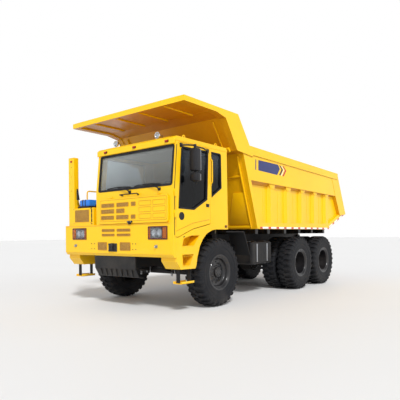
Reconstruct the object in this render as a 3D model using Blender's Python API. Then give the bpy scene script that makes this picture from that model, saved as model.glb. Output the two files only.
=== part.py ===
"""Off-highway mining dump truck: ladder chassis, offset cab, six wheels and a tipping bed.

Truck coordinates: metres, +Z up, front towards -Y, +X is the truck's left (driver's) side, with the
zero of Y at the front axle. Everything hangs from one empty that brings the middle of the whole
truck's footprint to the world origin.
"""
import math

import bmesh
import bpy
from mathutils import Matrix, Vector

# ---------------------------------------------------------------- overall sizes
BED_HALF_WIDTH = 1.77
BED_INNER_HALF_WIDTH = 1.60
CAB_LEFT_X = 1.70
CAB_RIGHT_X = -0.58
BODY_HALF_WIDTH = 1.70
MIRROR_OUT_X = 1.97
COUPLER_FRONT_Y = -1.66
BUMPER_FRONT_Y = -1.60
TAIL_Y = 7.277
MIDDLE_AXLE_Y = 3.80
REAR_AXLE_Y = 5.40

# ---------------------------------------------------------------- fits
GAP = 0.0003
MOVING_CLEARANCE = 0.006
PIN_CLEARANCE = 0.0008

# ---------------------------------------------------------------- wheels
TYRE_RADIUS = 0.745
TYRE_WIDTH = 0.43
RIM_SEAT_RADIUS = 0.365
WHEEL_SEGMENTS = 32
AXLE_Z = TYRE_RADIUS * math.cos(math.pi / WHEEL_SEGMENTS)
FRONT_TYRE_OUTER_X = 1.655
REAR_TYRE_OUTER_X = 1.75
TWIN_SPACING = 0.49
FRONT_WHEEL_X = FRONT_TYRE_OUTER_X - TYRE_WIDTH / 2
REAR_WHEEL_X = REAR_TYRE_OUTER_X - TYRE_WIDTH / 2 - TWIN_SPACING / 2
HUB_INNER_FACE = 0.03
HUB_RADIUS = 0.10

# ---------------------------------------------------------------- chassis
RAIL_OUTER_X = 0.45
RAIL_FLANGE = 0.10
RAIL_PLATE = 0.02
RAIL_BOTTOM_Z = 0.88
RAIL_TOP_Z = 1.25
RAIL_REAR_Y = 6.10
RAIL_INNER_X = RAIL_OUTER_X - RAIL_FLANGE
EAR_THICKNESS = 0.06
GEARBOX_REAR_Y = 1.45
NOSE_LENGTH = 0.42
SHAFT_Z = AXLE_Z + 0.04
TANK_OUTER_X = 1.45
TANK_LENGTH = 1.00
TANK_REAR_Y = MIDDLE_AXLE_Y - TYRE_RADIUS - 0.435
TANK_Y = (TANK_REAR_Y - TANK_LENGTH, TANK_REAR_Y)
TANK_Z = (0.80, 1.38)

# ---------------------------------------------------------------- steering
KINGPIN_X = 1.03
KINGPIN_RADIUS = 0.045
AXLE_EYE_RADIUS = 0.09
AXLE_EYE_HALF_HEIGHT = 0.10
YOKE_THICKNESS = 0.07
DRUM_RADIUS = 0.22
SPINDLE_RADIUS = 0.07
STEERING_ARM_X = KINGPIN_X
STEERING_ARM_Y = 0.42
TIE_ROD_RADIUS = 0.028
BALL_PIN_RADIUS = 0.02

# ---------------------------------------------------------------- cab
CAB_WALL = 0.07
CAB_FRONT_Y = -1.58
CAB_REAR_Y = 0.22
CAB_BOTTOM_Z = 1.70
CAB_TOP_Z = 3.37
ROOF_TOP_Z = 3.47
CAB_FLOOR_THICKNESS = 0.06
BUMPER_TOP_Z = 1.80
BUMPER_BACK_Y = -1.50
GLASS_THICKNESS = 0.008
STEERING_WHEEL_X = 1.10
SEAT_X = 1.10

# ---------------------------------------------------------------- bed and hoist
HINGE_Y = 6.15
HINGE_Z = 1.45
HINGE_PIN_RADIUS = 0.05
HINGE_BOSS_RADIUS = 0.09
BED_FLOOR_Z = 1.69
BED_FLOOR_THICKNESS = 0.06
BED_WALL = 0.04
STIFFENER_REVEAL = 0.002
SUBFRAME_BEAM_WIDTH = 0.10
BEARER_WIDTH = 0.12
BEARER_DEPTH = 0.12
CANOPY_OVER_ROOF = 0.69
HOIST_BASE_Y = 0.72
HOIST_BASE_Z = 1.24
HOIST_EYE_Y = 0.80
HOIST_EYE_Z = 2.85
HOIST_BARREL_RADIUS = 0.135
HOIST_WALL = 0.013
HOIST_STEP = HOIST_WALL + PIN_CLEARANCE
HOIST_PIN_RADIUS = 0.035
HOIST_STAGES = 3
HOIST_CHEEK_X = 0.095
HOIST_EYE_HALF_WIDTH = HOIST_CHEEK_X - 0.008

CENTRE_X = (MIRROR_OUT_X - BED_HALF_WIDTH) / 2
CENTRE_Y = (COUPLER_FRONT_Y + TAIL_Y) / 2

ROUND = 24
SMALL_ROUND = 12


# ---------------------------------------------------------------- scene helpers
def clear_scene():
    for old in list(bpy.data.objects):
        bpy.data.objects.remove(old, do_unlink=True)


def principled(name, colour, roughness, metallic):
    material = bpy.data.materials.new(name)
    material.use_nodes = True
    shader = material.node_tree.nodes["Principled BSDF"]
    shader.inputs["Base Color"].default_value = (*colour, 1.0)
    shader.inputs["Roughness"].default_value = roughness
    shader.inputs["Metallic"].default_value = metallic
    return material


clear_scene()
TRUCK = bpy.data.objects.new("truck_origin", None)
TRUCK.location = (-CENTRE_X, -CENTRE_Y, 0.0)
bpy.context.scene.collection.objects.link(TRUCK)

FINISHES = {
    "yellow": ((0.95, 0.62, 0.01), 0.35, 0.0),
    "orange": ((0.75, 0.28, 0.02), 0.5, 0.0),
    "black": ((0.02, 0.02, 0.022), 0.55, 0.0),
    "steel": ((0.35, 0.36, 0.38), 0.3, 1.0),
    "tyre": ((0.02, 0.022, 0.026), 0.85, 0.0),
    "glass": ((0.25, 0.3, 0.32), 0.05, 0.0),
    "lamp": ((0.9, 0.88, 0.8), 0.1, 0.0),
    "plastic": ((0.04, 0.04, 0.045), 0.6, 0.0),
    "seat": ((0.03, 0.03, 0.035), 0.9, 0.0),
    "blue": ((0.05, 0.25, 0.7), 0.3, 0.0),
}


def place(name, bm, pivot=(0, 0, 0), smooth=False):
    """Turn a bmesh drawn in truck coordinates into an object whose origin is at the pivot."""
    bmesh.ops.translate(bm, verts=bm.verts, vec=-Vector(pivot))
    bmesh.ops.recalc_face_normals(bm, faces=bm.faces)
    mesh = bpy.data.meshes.new(name)
    bm.to_mesh(mesh)
    bm.free()
    if smooth:
        mesh.shade_smooth()
        mesh.set_sharp_from_angle(angle=math.radians(35))
    item = bpy.data.objects.new(name, mesh)
    item.location = pivot
    item.parent = TRUCK
    bpy.context.scene.collection.objects.link(item)
    return item


def solid(name, finish, bm, pivot=(0, 0, 0), smooth=False):
    item = place(name, bm, pivot, smooth)
    item.data.materials.append(principled(name + "_finish", *FINISHES[finish]))
    return item


def boolean(item, operation, bm):
    """Add or cut a shape, kept as a hidden tool object."""
    tool = place(item.name + "_tool", bm)
    tool.hide_render = True
    tool.display_type = "WIRE"
    modifier = item.modifiers.new(operation.lower(), "BOOLEAN")
    modifier.operation = operation
    modifier.solver = "EXACT"
    modifier.object = tool


def add(item, *shapes):
    for bm in shapes:
        boolean(item, "UNION", bm)
    return item


def cut(item, *shapes):
    for bm in shapes:
        boolean(item, "DIFFERENCE", bm)
    return item


# ---------------------------------------------------------------- shapes
def block(low, high):
    bm = bmesh.new()
    bmesh.ops.create_cube(bm, size=1.0)
    size = Vector(high) - Vector(low)
    bmesh.ops.scale(bm, verts=bm.verts, vec=size)
    bmesh.ops.translate(bm, verts=bm.verts, vec=(Vector(high) + Vector(low)) / 2)
    return bm


def extruded(points, direction):
    """Close a flat outline and draw it out along a vector."""
    bm = bmesh.new()
    face = bm.faces.new([bm.verts.new(point) for point in points])
    drawn = bmesh.ops.extrude_face_region(bm, geom=[face])
    moved = [part for part in drawn["geom"] if isinstance(part, bmesh.types.BMVert)]
    bmesh.ops.translate(bm, verts=moved, vec=direction)
    return bm


def side_plate(outline, x_low, x_high):
    """Outline of (y, z) points, drawn out across the truck."""
    return extruded([(x_low, y, z) for y, z in outline], (x_high - x_low, 0, 0))


def front_plate(outline, y_low, y_high):
    """Outline of (x, z) points, drawn out along the truck."""
    return extruded([(x, y_low, z) for x, z in outline], (0, y_high - y_low, 0))


def floor_plate(outline, z_low, z_high):
    """Outline of (x, y) points, drawn out upwards."""
    return extruded([(x, y, z_low) for x, y in outline], (0, 0, z_high - z_low))


def rod(start, end, radius, sides=ROUND, end_radius=None):
    """Cylinder or cone between two points."""
    start, end = Vector(start), Vector(end)
    length = (end - start).length
    bm = bmesh.new()
    bmesh.ops.create_cone(bm, cap_ends=True, segments=sides, radius1=radius,
                          radius2=radius if end_radius is None else end_radius, depth=length)
    turn = Vector((0, 0, 1)).rotation_difference(end - start).to_matrix().to_4x4()
    bmesh.ops.transform(bm, matrix=Matrix.Translation((start + end) / 2) @ turn, verts=bm.verts)
    return bm


def turned(profile, centre, segments=WHEEL_SEGMENTS, side=1):
    """Spin a profile of (x, radius) about the X axis; points of radius 0 close it on the axis."""
    bm = bmesh.new()
    half_turn = math.pi / segments
    points = [Vector((side * x, radius * math.sin(half_turn), -radius * math.cos(half_turn)))
              for x, radius in profile]
    verts = [bm.verts.new(point) for point in points]
    closed = all(radius > 0 for x, radius in profile)
    edges = [bm.edges.new(pair) for pair in zip(verts, verts[1:])]
    if closed:
        edges.append(bm.edges.new((verts[-1], verts[0])))
    bmesh.ops.spin(bm, geom=verts + edges, axis=(1, 0, 0), cent=(0, 0, 0), angle=2 * math.pi,
                   steps=segments, use_merge=True)
    bmesh.ops.remove_doubles(bm, verts=bm.verts, dist=0.00001)
    bmesh.ops.translate(bm, verts=bm.verts, vec=centre)
    return bm


def grown(outline, distance):
    """Offset an outline outwards (inwards where the distance is negative), with mitred corners."""
    area = sum(a[0] * b[1] - b[0] * a[1] for a, b in zip(outline, outline[1:] + outline[:1]))
    turn = 1 if area > 0 else -1
    result = []
    for before, here, after in zip(outline[-1:] + outline[:-1], outline, outline[1:] + outline[:1]):
        first = (Vector(here) - Vector(before)).normalized()
        second = (Vector(after) - Vector(here)).normalized()
        normal_first = Vector((first.y, -first.x)) * turn
        normal_second = Vector((second.y, -second.x)) * turn
        miter = (normal_first + normal_second) / (1 + normal_first.dot(normal_second))
        result.append(tuple(Vector(here) + miter * distance))
    return result


def rounded(outline, radius, steps=3):
    """Replace each corner of an outline by an arc of the given radius."""
    result = []
    for before, here, after in zip(outline[-1:] + outline[:-1], outline, outline[1:] + outline[:1]):
        here = Vector(here)
        back = (Vector(before) - here).normalized()
        ahead = (Vector(after) - here).normalized()
        corner = back.angle(ahead)
        reach = radius / math.tan(corner / 2)
        centre = here + (back + ahead).normalized() * radius / math.sin(corner / 2)
        start = here + back * reach - centre
        sweep = start.angle_signed(here + ahead * reach - centre)
        for step in range(steps + 1):
            spoke = start.copy()
            spoke.rotate(Matrix.Rotation(-sweep * step / steps, 2))
            result.append(tuple(centre + spoke))
    return result


def rectangle(low, high):
    return [(low[0], low[1]), (high[0], low[1]), (high[0], high[1]), (low[0], high[1])]


# ---------------------------------------------------------------- wheels
def wheel_front(label, side):
    """Single tyre with its dished disc and hub, in one piece as it turns."""
    half = TYRE_WIDTH / 2
    seat = half - 0.045
    profile = [(0.16, 0.0), (0.16, HUB_RADIUS), (0.07, HUB_RADIUS + 0.03), (0.07, 0.29),
               (seat, 0.315), (seat, RIM_SEAT_RADIUS), (half, 0.50), (half, TYRE_RADIUS - 0.06),
               (half - 0.015, TYRE_RADIUS), (-half + 0.015, TYRE_RADIUS), (-half, TYRE_RADIUS - 0.06),
               (-half, 0.50), (-seat, RIM_SEAT_RADIUS), (-seat, 0.315), (HUB_INNER_FACE, 0.29),
               (HUB_INNER_FACE, 0.0)]
    centre = (side * FRONT_WHEEL_X, 0, AXLE_Z)
    return solid("wheel_front_" + label, "tyre", turned(profile, centre, side=side), centre, smooth=True)


def wheel_twin(name, axle_y, side):
    """Two tyres on one deep dished drum."""
    half = TYRE_WIDTH / 2
    seat = half - 0.045
    spread = TWIN_SPACING / 2
    shoulder = TYRE_RADIUS - 0.06
    tread = half - 0.015
    profile = [(0.24, 0.0), (0.24, HUB_RADIUS + 0.02), (0.07, HUB_RADIUS + 0.05), (0.07, 0.30),
               (spread + seat, 0.315), (spread + seat, RIM_SEAT_RADIUS)]
    for middle in (spread, -spread):
        profile += [(middle + half, 0.50), (middle + half, shoulder), (middle + tread, TYRE_RADIUS),
                    (middle - tread, TYRE_RADIUS), (middle - half, shoulder), (middle - half, 0.50),
                    (middle - seat, RIM_SEAT_RADIUS)]
        if middle > 0:
            profile.append((-spread + seat, RIM_SEAT_RADIUS))
    profile += [(-spread - seat, 0.315), (HUB_INNER_FACE, 0.30), (HUB_INNER_FACE, 0.0)]
    centre = (side * REAR_WHEEL_X, axle_y, AXLE_Z)
    return solid(name, "tyre", turned(profile, centre, side=side), centre, smooth=True)


def build_wheels():
    for label, side in (("left", 1), ("right", -1)):
        wheel_front(label, side)
        wheel_twin("wheel_middle_" + label, MIDDLE_AXLE_Y, side)
        wheel_twin("wheel_rear_" + label, REAR_AXLE_Y, side)


# ---------------------------------------------------------------- chassis
def rail(side):
    """One C-shaped frame rail, open towards the middle."""
    outer = RAIL_OUTER_X
    web = outer - RAIL_PLATE
    inner = RAIL_INNER_X
    low, high = RAIL_BOTTOM_Z, RAIL_TOP_Z
    section = [(outer, low), (outer, high), (inner, high), (inner, high - RAIL_PLATE),
               (web, high - RAIL_PLATE), (web, low + RAIL_PLATE), (inner, low + RAIL_PLATE), (inner, low)]
    points = [(side * x, z) for x, z in section]
    return front_plate(points, BUMPER_BACK_Y + GAP, RAIL_REAR_Y)


def cross_member(y_low, y_high, z_low, z_high):
    reach = RAIL_OUTER_X - RAIL_PLATE / 2
    return block((-reach, y_low, z_low), (reach, y_high, z_high))


def hinge_ear(side):
    outline = [(HINGE_Y - 0.35, 0.92), (HINGE_Y + 0.10, 0.92), (HINGE_Y + 0.12, HINGE_Z),
               (HINGE_Y + 0.06, HINGE_Z + 0.10), (HINGE_Y - 0.06, HINGE_Z + 0.10),
               (HINGE_Y - 0.12, HINGE_Z)]
    inner = RAIL_OUTER_X + 0.02
    return side_plate(outline, side * inner, side * (inner + EAR_THICKNESS))


def build_main_frame():
    frame = solid("main_frame", "black", rail(1))
    cross_members = ((-1.45, -1.35, 0.90, 1.20), (0.60, 0.84, 1.02, 1.16), (1.55, 1.65, 0.95, 1.20),
                     (2.80, 2.90, 0.95, 1.20), (4.50, 4.70, 0.92, 1.20), (5.95, 6.05, 0.92, 1.22))
    add(frame, rail(-1), *[cross_member(*sizes) for sizes in cross_members])
    for side in (1, -1):
        inner, outer = RAIL_INNER_X + 0.01, RAIL_OUTER_X - 0.01
        for y in (-1.33, 0.02):
            add(frame, block((min(side * inner, side * outer), y, RAIL_TOP_Z - 0.01),
                             (max(side * inner, side * outer), y + 0.12, CAB_BOTTOM_Z - 0.04)))
        spacer = sorted((side * (RAIL_OUTER_X - 0.01), side * (RAIL_OUTER_X + 0.03)))
        add(frame, block((spacer[0], HINGE_Y - 0.33, 0.94), (spacer[1], RAIL_REAR_Y, 1.20)))
        add(frame, hinge_ear(side))
        cheek = sorted((side * 0.075, side * 0.105))
        add(frame, side_plate([(HOIST_BASE_Y - 0.10, 1.15), (HOIST_BASE_Y + 0.10, 1.15),
                               (HOIST_BASE_Y + 0.07, HOIST_BASE_Z + 0.06),
                               (HOIST_BASE_Y - 0.07, HOIST_BASE_Z + 0.06)], *cheek))
    for y in (-1.33, 0.02):
        add(frame, block((CAB_RIGHT_X + 0.06, y, CAB_BOTTOM_Z - 0.09),
                         (1.18, y + 0.12, CAB_BOTTOM_Z - GAP)))
    pin_end = RAIL_OUTER_X + 0.02 + EAR_THICKNESS + 0.03
    add(frame, rod((-pin_end, HINGE_Y, HINGE_Z), (pin_end, HINGE_Y, HINGE_Z), HINGE_PIN_RADIUS))
    add(frame, rod((-0.09, HOIST_BASE_Y, HOIST_BASE_Z), (0.09, HOIST_BASE_Y, HOIST_BASE_Z),
                   HOIST_PIN_RADIUS))
    return frame


def leaf_spring(side):
    """Front leaf spring, clamped on the beam and meeting the rail at its two ends."""
    seat = AXLE_Z + 0.07
    top = RAIL_BOTTOM_Z - GAP
    outline = [(-0.65, seat + 0.04), (-0.25, seat - 0.03), (0.25, seat - 0.03), (0.65, seat + 0.04),
               (0.65, top), (0.55, top), (0.25, seat + 0.03), (-0.25, seat + 0.03), (-0.55, top),
               (-0.65, top)]
    return side_plate(outline, *sorted((side * 0.36, side * 0.44)))


def build_front_axle():
    beam_low, beam_high = AXLE_Z - 0.09, AXLE_Z + 0.05
    axle = solid("front_axle", "black",
                 block((-KINGPIN_X + 0.05, -0.08, beam_low), (KINGPIN_X - 0.05, 0.08, beam_high)))
    for side in (1, -1):
        eye_low = (side * KINGPIN_X, 0, AXLE_Z - AXLE_EYE_HALF_HEIGHT)
        eye_high = (side * KINGPIN_X, 0, AXLE_Z + AXLE_EYE_HALF_HEIGHT)
        add(axle, rod(eye_low, eye_high, AXLE_EYE_RADIUS), leaf_spring(side))
        cut(axle, rod((side * KINGPIN_X, 0, 0.3), (side * KINGPIN_X, 0, 1.2),
                      KINGPIN_RADIUS + PIN_CLEARANCE))
    return axle


def rear_axle_housing(name, axle_y):
    """Driven axle: beam, differential and brake drums."""
    reach = REAR_WHEEL_X + HUB_INNER_FACE - GAP
    housing = solid(name, "black", block((-0.84, axle_y - 0.11, AXLE_Z - 0.12), (0.84, axle_y + 0.11,
                                         AXLE_Z + 0.12)))
    add(housing, rod((-0.19, axle_y, AXLE_Z), (0.19, axle_y, AXLE_Z), 0.27))
    add(housing, rod((0, axle_y, SHAFT_Z), (0, axle_y - NOSE_LENGTH, SHAFT_Z), 0.16, ROUND, 0.08))
    add(housing, rod((-reach, axle_y, AXLE_Z), (reach, axle_y, AXLE_Z), 0.10))
    for side in (1, -1):
        add(housing, rod((side * 0.86, axle_y, AXLE_Z), (side * 1.24, axle_y, AXLE_Z), 0.25))
        add(housing, rod((side * 0.80, axle_y, AXLE_Z), (side * 0.90, axle_y, AXLE_Z), 0.14))
    return housing


def build_bogie():
    """Trunnion tube under the frame with a leaf pack on each side, resting on both rear axles."""
    middle = (MIDDLE_AXLE_Y + REAR_AXLE_Y) / 2
    axle_top = AXLE_Z + 0.12 + GAP
    tube_z = AXLE_Z - 0.03
    bogie = solid("bogie_suspension", "black",
                  rod((-0.68, middle, tube_z), (0.68, middle, tube_z), 0.085))
    for side in (1, -1):
        pedestal = sorted((side * 0.36, side * 0.44))
        add(bogie, block((pedestal[0], middle - 0.15, tube_z), (pedestal[1], middle + 0.15,
                         RAIL_BOTTOM_Z - GAP)))
        low = tube_z + 0.05
        outline = [(MIDDLE_AXLE_Y - 0.10, axle_top), (MIDDLE_AXLE_Y + 0.12, axle_top),
                   (middle - 0.22, low), (middle + 0.22, low), (REAR_AXLE_Y - 0.12, axle_top),
                   (REAR_AXLE_Y + 0.10, axle_top), (REAR_AXLE_Y + 0.10, axle_top + 0.04),
                   (REAR_AXLE_Y - 0.16, axle_top + 0.07), (middle + 0.2, axle_top + 0.05),
                   (middle - 0.2, axle_top + 0.05), (MIDDLE_AXLE_Y + 0.16, axle_top + 0.07),
                   (MIDDLE_AXLE_Y - 0.10, axle_top + 0.04)]
        add(bogie, side_plate(outline, *sorted((side * 0.53, side * 0.65))))
    return bogie


def build_driveline():
    width = RAIL_INNER_X - GAP
    engine = solid("engine_and_gearbox", "steel", block((-width, -1.05, 0.93), (width, 0.34, 1.58)))
    add(engine, block((-0.24, 0.30, 0.70), (0.24, GEARBOX_REAR_Y, 0.985)))
    shaft_start = (0, GEARBOX_REAR_Y + GAP, SHAFT_Z)
    shaft_end = (0, MIDDLE_AXLE_Y - NOSE_LENGTH - GAP, SHAFT_Z)
    return solid("propeller_shaft", "steel", rod(shaft_start, shaft_end, 0.06), smooth=True)


def build_chassis_boxes():
    solid("radiator_guard", "black",
          side_plate([(-1.545, 1.13 - GAP), (-1.515, 1.13 - GAP), (-1.506, 0.87), (-1.42, 0.71),
                      (-1.30, 0.68), (-1.30, 0.66), (-1.43, 0.685), (-1.535, 0.86)], -0.70, 0.60))
    inner, bracket = RAIL_OUTER_X + 0.03, RAIL_OUTER_X + GAP
    for name, side in (("fuel_tank", 1), ("air_tank", -1)):
        low, high = sorted((side * inner, side * TANK_OUTER_X))
        tank = solid(name, "black", block((low, TANK_Y[0], TANK_Z[0]), (high, TANK_Y[1], TANK_Z[1])))
        bevel = tank.modifiers.new("edges", "BEVEL")
        bevel.width = 0.06
        bevel.segments = 2
        bevel.limit_method = "ANGLE"
        for y in (TANK_Y[0] + 0.15, TANK_Y[1] - 0.25):
            low, high = sorted((side * bracket, side * (inner + 0.05)))
            add(tank, block((low, y, TANK_Z[0] + 0.12), (high, y + 0.10, RAIL_TOP_Z - 0.02)))


# ---------------------------------------------------------------- steering
def knuckle(label, side):
    """Forked steering knuckle with its kingpin, drum, spindle and arm."""
    pivot = (side * KINGPIN_X, 0, AXLE_Z)
    eye_top = AXLE_Z + AXLE_EYE_HALF_HEIGHT + PIN_CLEARANCE
    eye_low = AXLE_Z - AXLE_EYE_HALF_HEIGHT - PIN_CLEARANCE
    web_inner = KINGPIN_X + AXLE_EYE_RADIUS + 0.02
    web = sorted((side * web_inner, side * (web_inner + 0.05)))
    item = solid("knuckle_" + label, "black",
                 block((web[0], -0.10, eye_low - YOKE_THICKNESS), (web[1], 0.10, eye_top + YOKE_THICKNESS)),
                 pivot)
    yoke = sorted((side * (KINGPIN_X - 0.08), side * (web_inner + 0.03)))
    add(item, block((yoke[0], -0.08, eye_top), (yoke[1], 0.08, eye_top + YOKE_THICKNESS)),
        block((yoke[0], -0.08, eye_low - YOKE_THICKNESS), (yoke[1], 0.08, eye_low)),
        rod((side * KINGPIN_X, 0, eye_low - 0.03), (side * KINGPIN_X, 0, eye_top + 0.03), KINGPIN_RADIUS),
        rod((side * (web_inner + 0.04), 0, AXLE_Z), (side * (FRONT_WHEEL_X - 0.02), 0, AXLE_Z),
            DRUM_RADIUS),
        rod((side * web_inner, 0, AXLE_Z), (side * (FRONT_WHEEL_X + HUB_INNER_FACE - GAP), 0, AXLE_Z),
            SPINDLE_RADIUS))
    arm_top = eye_low - 0.03
    arm = [(side * (KINGPIN_X - 0.06), -0.02), (side * (KINGPIN_X + 0.06), -0.02),
           (side * (STEERING_ARM_X + 0.05), STEERING_ARM_Y + 0.03),
           (side * (STEERING_ARM_X - 0.05), STEERING_ARM_Y + 0.03)]
    add(item, floor_plate(arm, arm_top - 0.04, arm_top),
        rod((side * STEERING_ARM_X, STEERING_ARM_Y, arm_top - 0.02),
            (side * STEERING_ARM_X, STEERING_ARM_Y, arm_top + 0.08), BALL_PIN_RADIUS))
    return item


def build_tie_rod():
    arm_top = AXLE_Z - AXLE_EYE_HALF_HEIGHT - PIN_CLEARANCE - 0.03
    eye_low, eye_high = arm_top + GAP, arm_top + 0.06
    z = (eye_low + eye_high) / 2
    item = solid("tie_rod", "black",
                 rod((-STEERING_ARM_X, STEERING_ARM_Y, z), (STEERING_ARM_X, STEERING_ARM_Y, z),
                     TIE_ROD_RADIUS, SMALL_ROUND), (STEERING_ARM_X, STEERING_ARM_Y, z))
    for side in (1, -1):
        x = side * STEERING_ARM_X
        add(item, rod((x, STEERING_ARM_Y, eye_low), (x, STEERING_ARM_Y, eye_high), 0.05))
        cut(item, rod((x, STEERING_ARM_Y, 0.3), (x, STEERING_ARM_Y, 0.9),
                      BALL_PIN_RADIUS + PIN_CLEARANCE))
    return item


# ---------------------------------------------------------------- front end
HEADLIGHTS = {"left": (1.044, 1.564), "right": (-1.425, -0.912)}
HEADLIGHT_Z = (1.48, 1.74)


def build_bumper():
    section = [(BUMPER_FRONT_Y, BUMPER_TOP_Z), (BUMPER_FRONT_Y, 1.19), (BUMPER_FRONT_Y + 0.04, 1.13),
               (BUMPER_BACK_Y, 1.13), (BUMPER_BACK_Y, BUMPER_TOP_Z)]
    bumper = solid("front_bumper", "yellow", side_plate(section, -BODY_HALF_WIDTH, BODY_HALF_WIDTH))
    for label, (x_low, x_high) in HEADLIGHTS.items():
        outline = rectangle((x_low, HEADLIGHT_Z[0]), (x_high, HEADLIGHT_Z[1]))
        cut(bumper, front_plate(outline, BUMPER_FRONT_Y - 0.05, BUMPER_FRONT_Y + 0.06))
        lamp = front_plate(grown(outline, -GAP), BUMPER_FRONT_Y - 0.012, BUMPER_FRONT_Y + 0.06 - GAP)
        solid("headlight_" + label, "lamp", lamp)
    door_foot = DOOR_OUTLINE[0]
    cut(bumper, block((FENDER_SKIN_X, door_foot[0] - MOVING_CLEARANCE, door_foot[1] - MOVING_CLEARANCE),
                      (BODY_HALF_WIDTH + 0.05, BUMPER_BACK_Y + 0.05, BUMPER_TOP_Z + 0.05)))
    coupler_x = (-0.126, 0.097)
    coupler = solid("tow_coupler", "black",
                    block((coupler_x[0], BUMPER_FRONT_Y - 0.02, 1.24), (coupler_x[1],
                          BUMPER_FRONT_Y - GAP, 1.386)))
    middle = sum(coupler_x) / 2
    add(coupler, block((middle - 0.06, COUPLER_FRONT_Y, 1.335), (middle + 0.06, BUMPER_FRONT_Y - 0.01, 1.36)),
        block((middle - 0.06, COUPLER_FRONT_Y, 1.265), (middle + 0.06, BUMPER_FRONT_Y - 0.01, 1.29)))


FLAP_X = (-0.43, 1.60)
FLAP_Z = (1.815, 2.35)
FLAP_THICKNESS = 0.03
FLAP_HINGE = (CAB_FRONT_Y - 0.02, FLAP_Z[1] + 0.022)
FLAP_HINGE_X = (-0.15, 1.24)
HINGE_LENGTH = 0.08
HINGE_RADIUS = 0.014


def build_flap():
    """Service flap over the front grille, hinged along its top edge."""
    outline = rounded(rectangle((FLAP_X[0], FLAP_Z[0]), (FLAP_X[1], FLAP_Z[1])), 0.06)
    y_inner = CAB_FRONT_Y - MOVING_CLEARANCE
    pivot = ((FLAP_X[0] + FLAP_X[1]) / 2, *FLAP_HINGE)
    flap = solid("grille_flap", "yellow", front_plate(outline, y_inner - FLAP_THICKNESS, y_inner), pivot)
    for x in FLAP_HINGE_X:
        add(flap, rod((x, *FLAP_HINGE), (x + HINGE_LENGTH, *FLAP_HINGE), HINGE_RADIUS, SMALL_ROUND),
            block((x + 0.005, FLAP_HINGE[0] - 0.008, FLAP_Z[1] - 0.01),
                  (x + HINGE_LENGTH - 0.005, FLAP_HINGE[0] + 0.008, FLAP_HINGE[1])))
    return flap


SKIN_REAR_Y = -0.415
DOOR_FOOT_CLEARANCE = 0.014  # the door's thick foot swings over the fender's slope
DOOR_LOWER_EDGE = [(-1.535, 1.53), (-1.43, 1.53), (-1.246, 1.60), (-0.999, 1.686), (-0.608, 1.76), (-0.42, 1.80)]
DOOR_OUTLINE = DOOR_LOWER_EDGE + [(-0.42, 3.31), (-0.46, 3.35), (-1.40, 3.35), (-1.45, 3.28),
                                  (-1.53, 2.42)]
DOOR_WINDOW = [(-1.425, 2.08), (-0.961, 2.07), (-0.531, 2.294), (-0.480, 3.25), (-0.52, 3.29),
               (-1.29, 3.28), (-1.33, 3.23)]
ARCH = [(-0.933, 0.889), (-0.90, 0.957), (-0.865, 1.116), (-0.781, 1.336), (-0.679, 1.476),
        (-0.543, 1.588), (-0.369, 1.655), (-0.226, 1.675)]
FENDER_FRONT = [(-0.933, 0.889), (-1.376, 0.895), (BUMPER_BACK_Y + GAP, 1.05)]
FENDER_INNER_X = 1.30
FENDER_SKIN_X = CAB_LEFT_X - CAB_WALL - MOVING_CLEARANCE
FENDER_SKIN_ROOT = 0.02
UPPER_POCKET = [(-1.34, 1.341), (-0.97, 1.341), (-0.93, 1.40), (-0.79, 1.555), (-1.05, 1.555),
                (-1.30, 1.50)]
LOWER_POCKET = [(-1.342, 1.186), (-0.976, 1.181), (-1.105, 0.955), (-1.316, 0.955)]


def build_fenders():
    """Front fenders with step pockets; the left one carries a thin skin up to the door."""
    for label, side, top in (("left", 1, CAB_BOTTOM_Z), ("right", -1, BUMPER_TOP_Z)):
        core_outline = FENDER_FRONT + [(BUMPER_BACK_Y + GAP, top - GAP), (CAB_REAR_Y, top - GAP),
                                       (CAB_REAR_Y, 1.675)] + ARCH[:0:-1]
        outer = FENDER_SKIN_X if side > 0 else BODY_HALF_WIDTH
        fender = solid("fender_" + label, "yellow",
                       side_plate(core_outline, *sorted((side * FENDER_INNER_X, side * outer))))
        if side > 0:
            lower_edge = [(y, z - DOOR_FOOT_CLEARANCE) for y, z in DOOR_LOWER_EDGE]
            skin = FENDER_FRONT + [(BUMPER_BACK_Y + GAP, lower_edge[0][1]), *lower_edge[1:],
                                   (SKIN_REAR_Y, lower_edge[-1][1]), (SKIN_REAR_Y, CAB_BOTTOM_Z - GAP),
                                   (CAB_REAR_Y, CAB_BOTTOM_Z - GAP), (CAB_REAR_Y, 1.675)] + ARCH[:0:-1]
            add(fender, side_plate(skin, FENDER_SKIN_X - FENDER_SKIN_ROOT, BODY_HALF_WIDTH))
        for pocket in (UPPER_POCKET, LOWER_POCKET):
            cut(fender, side_plate(pocket, *sorted((side * 1.48, side * 1.75))))


def build_steps():
    """Hanging steps below the fenders: two straps and a folded tread."""
    for label, side in (("left", 1), ("right", -1)):
        tread = sorted((side * 1.45, side * 1.68))
        step = solid("step_" + label, "yellow",
                     block((tread[0], -1.33, 0.60), (tread[1], -0.95, 0.65)))
        strap = sorted((side * 1.52, side * 1.60))
        top = 0.889 - GAP
        for y in (-1.31, -0.985):
            add(step, block((strap[0], y, 0.62), (strap[1], y + 0.02, top)))


def build_right_deck():
    """Equipment box beside the cab, with a tall post at its front corner."""
    low = BUMPER_TOP_Z + GAP
    deck = solid("right_deck", "yellow", block((-1.63, -1.55, low), (-0.72, -0.35, 2.20)))
    add(deck, block((-1.63, -1.55, 2.10), (-1.42, -1.43, 3.39)))
    add(deck, side_plate([(-1.44, 2.15), (-1.30, 2.15), (-1.44, 2.65)], -1.56, -1.50))
    tank = solid("coolant_tank", "blue", block((-1.36, -1.50, 2.20 + GAP), (-0.94, -1.15, 2.25)))
    add(tank, block((-1.33, -1.47, 2.24), (-0.97, -1.18, 2.40)))


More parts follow.
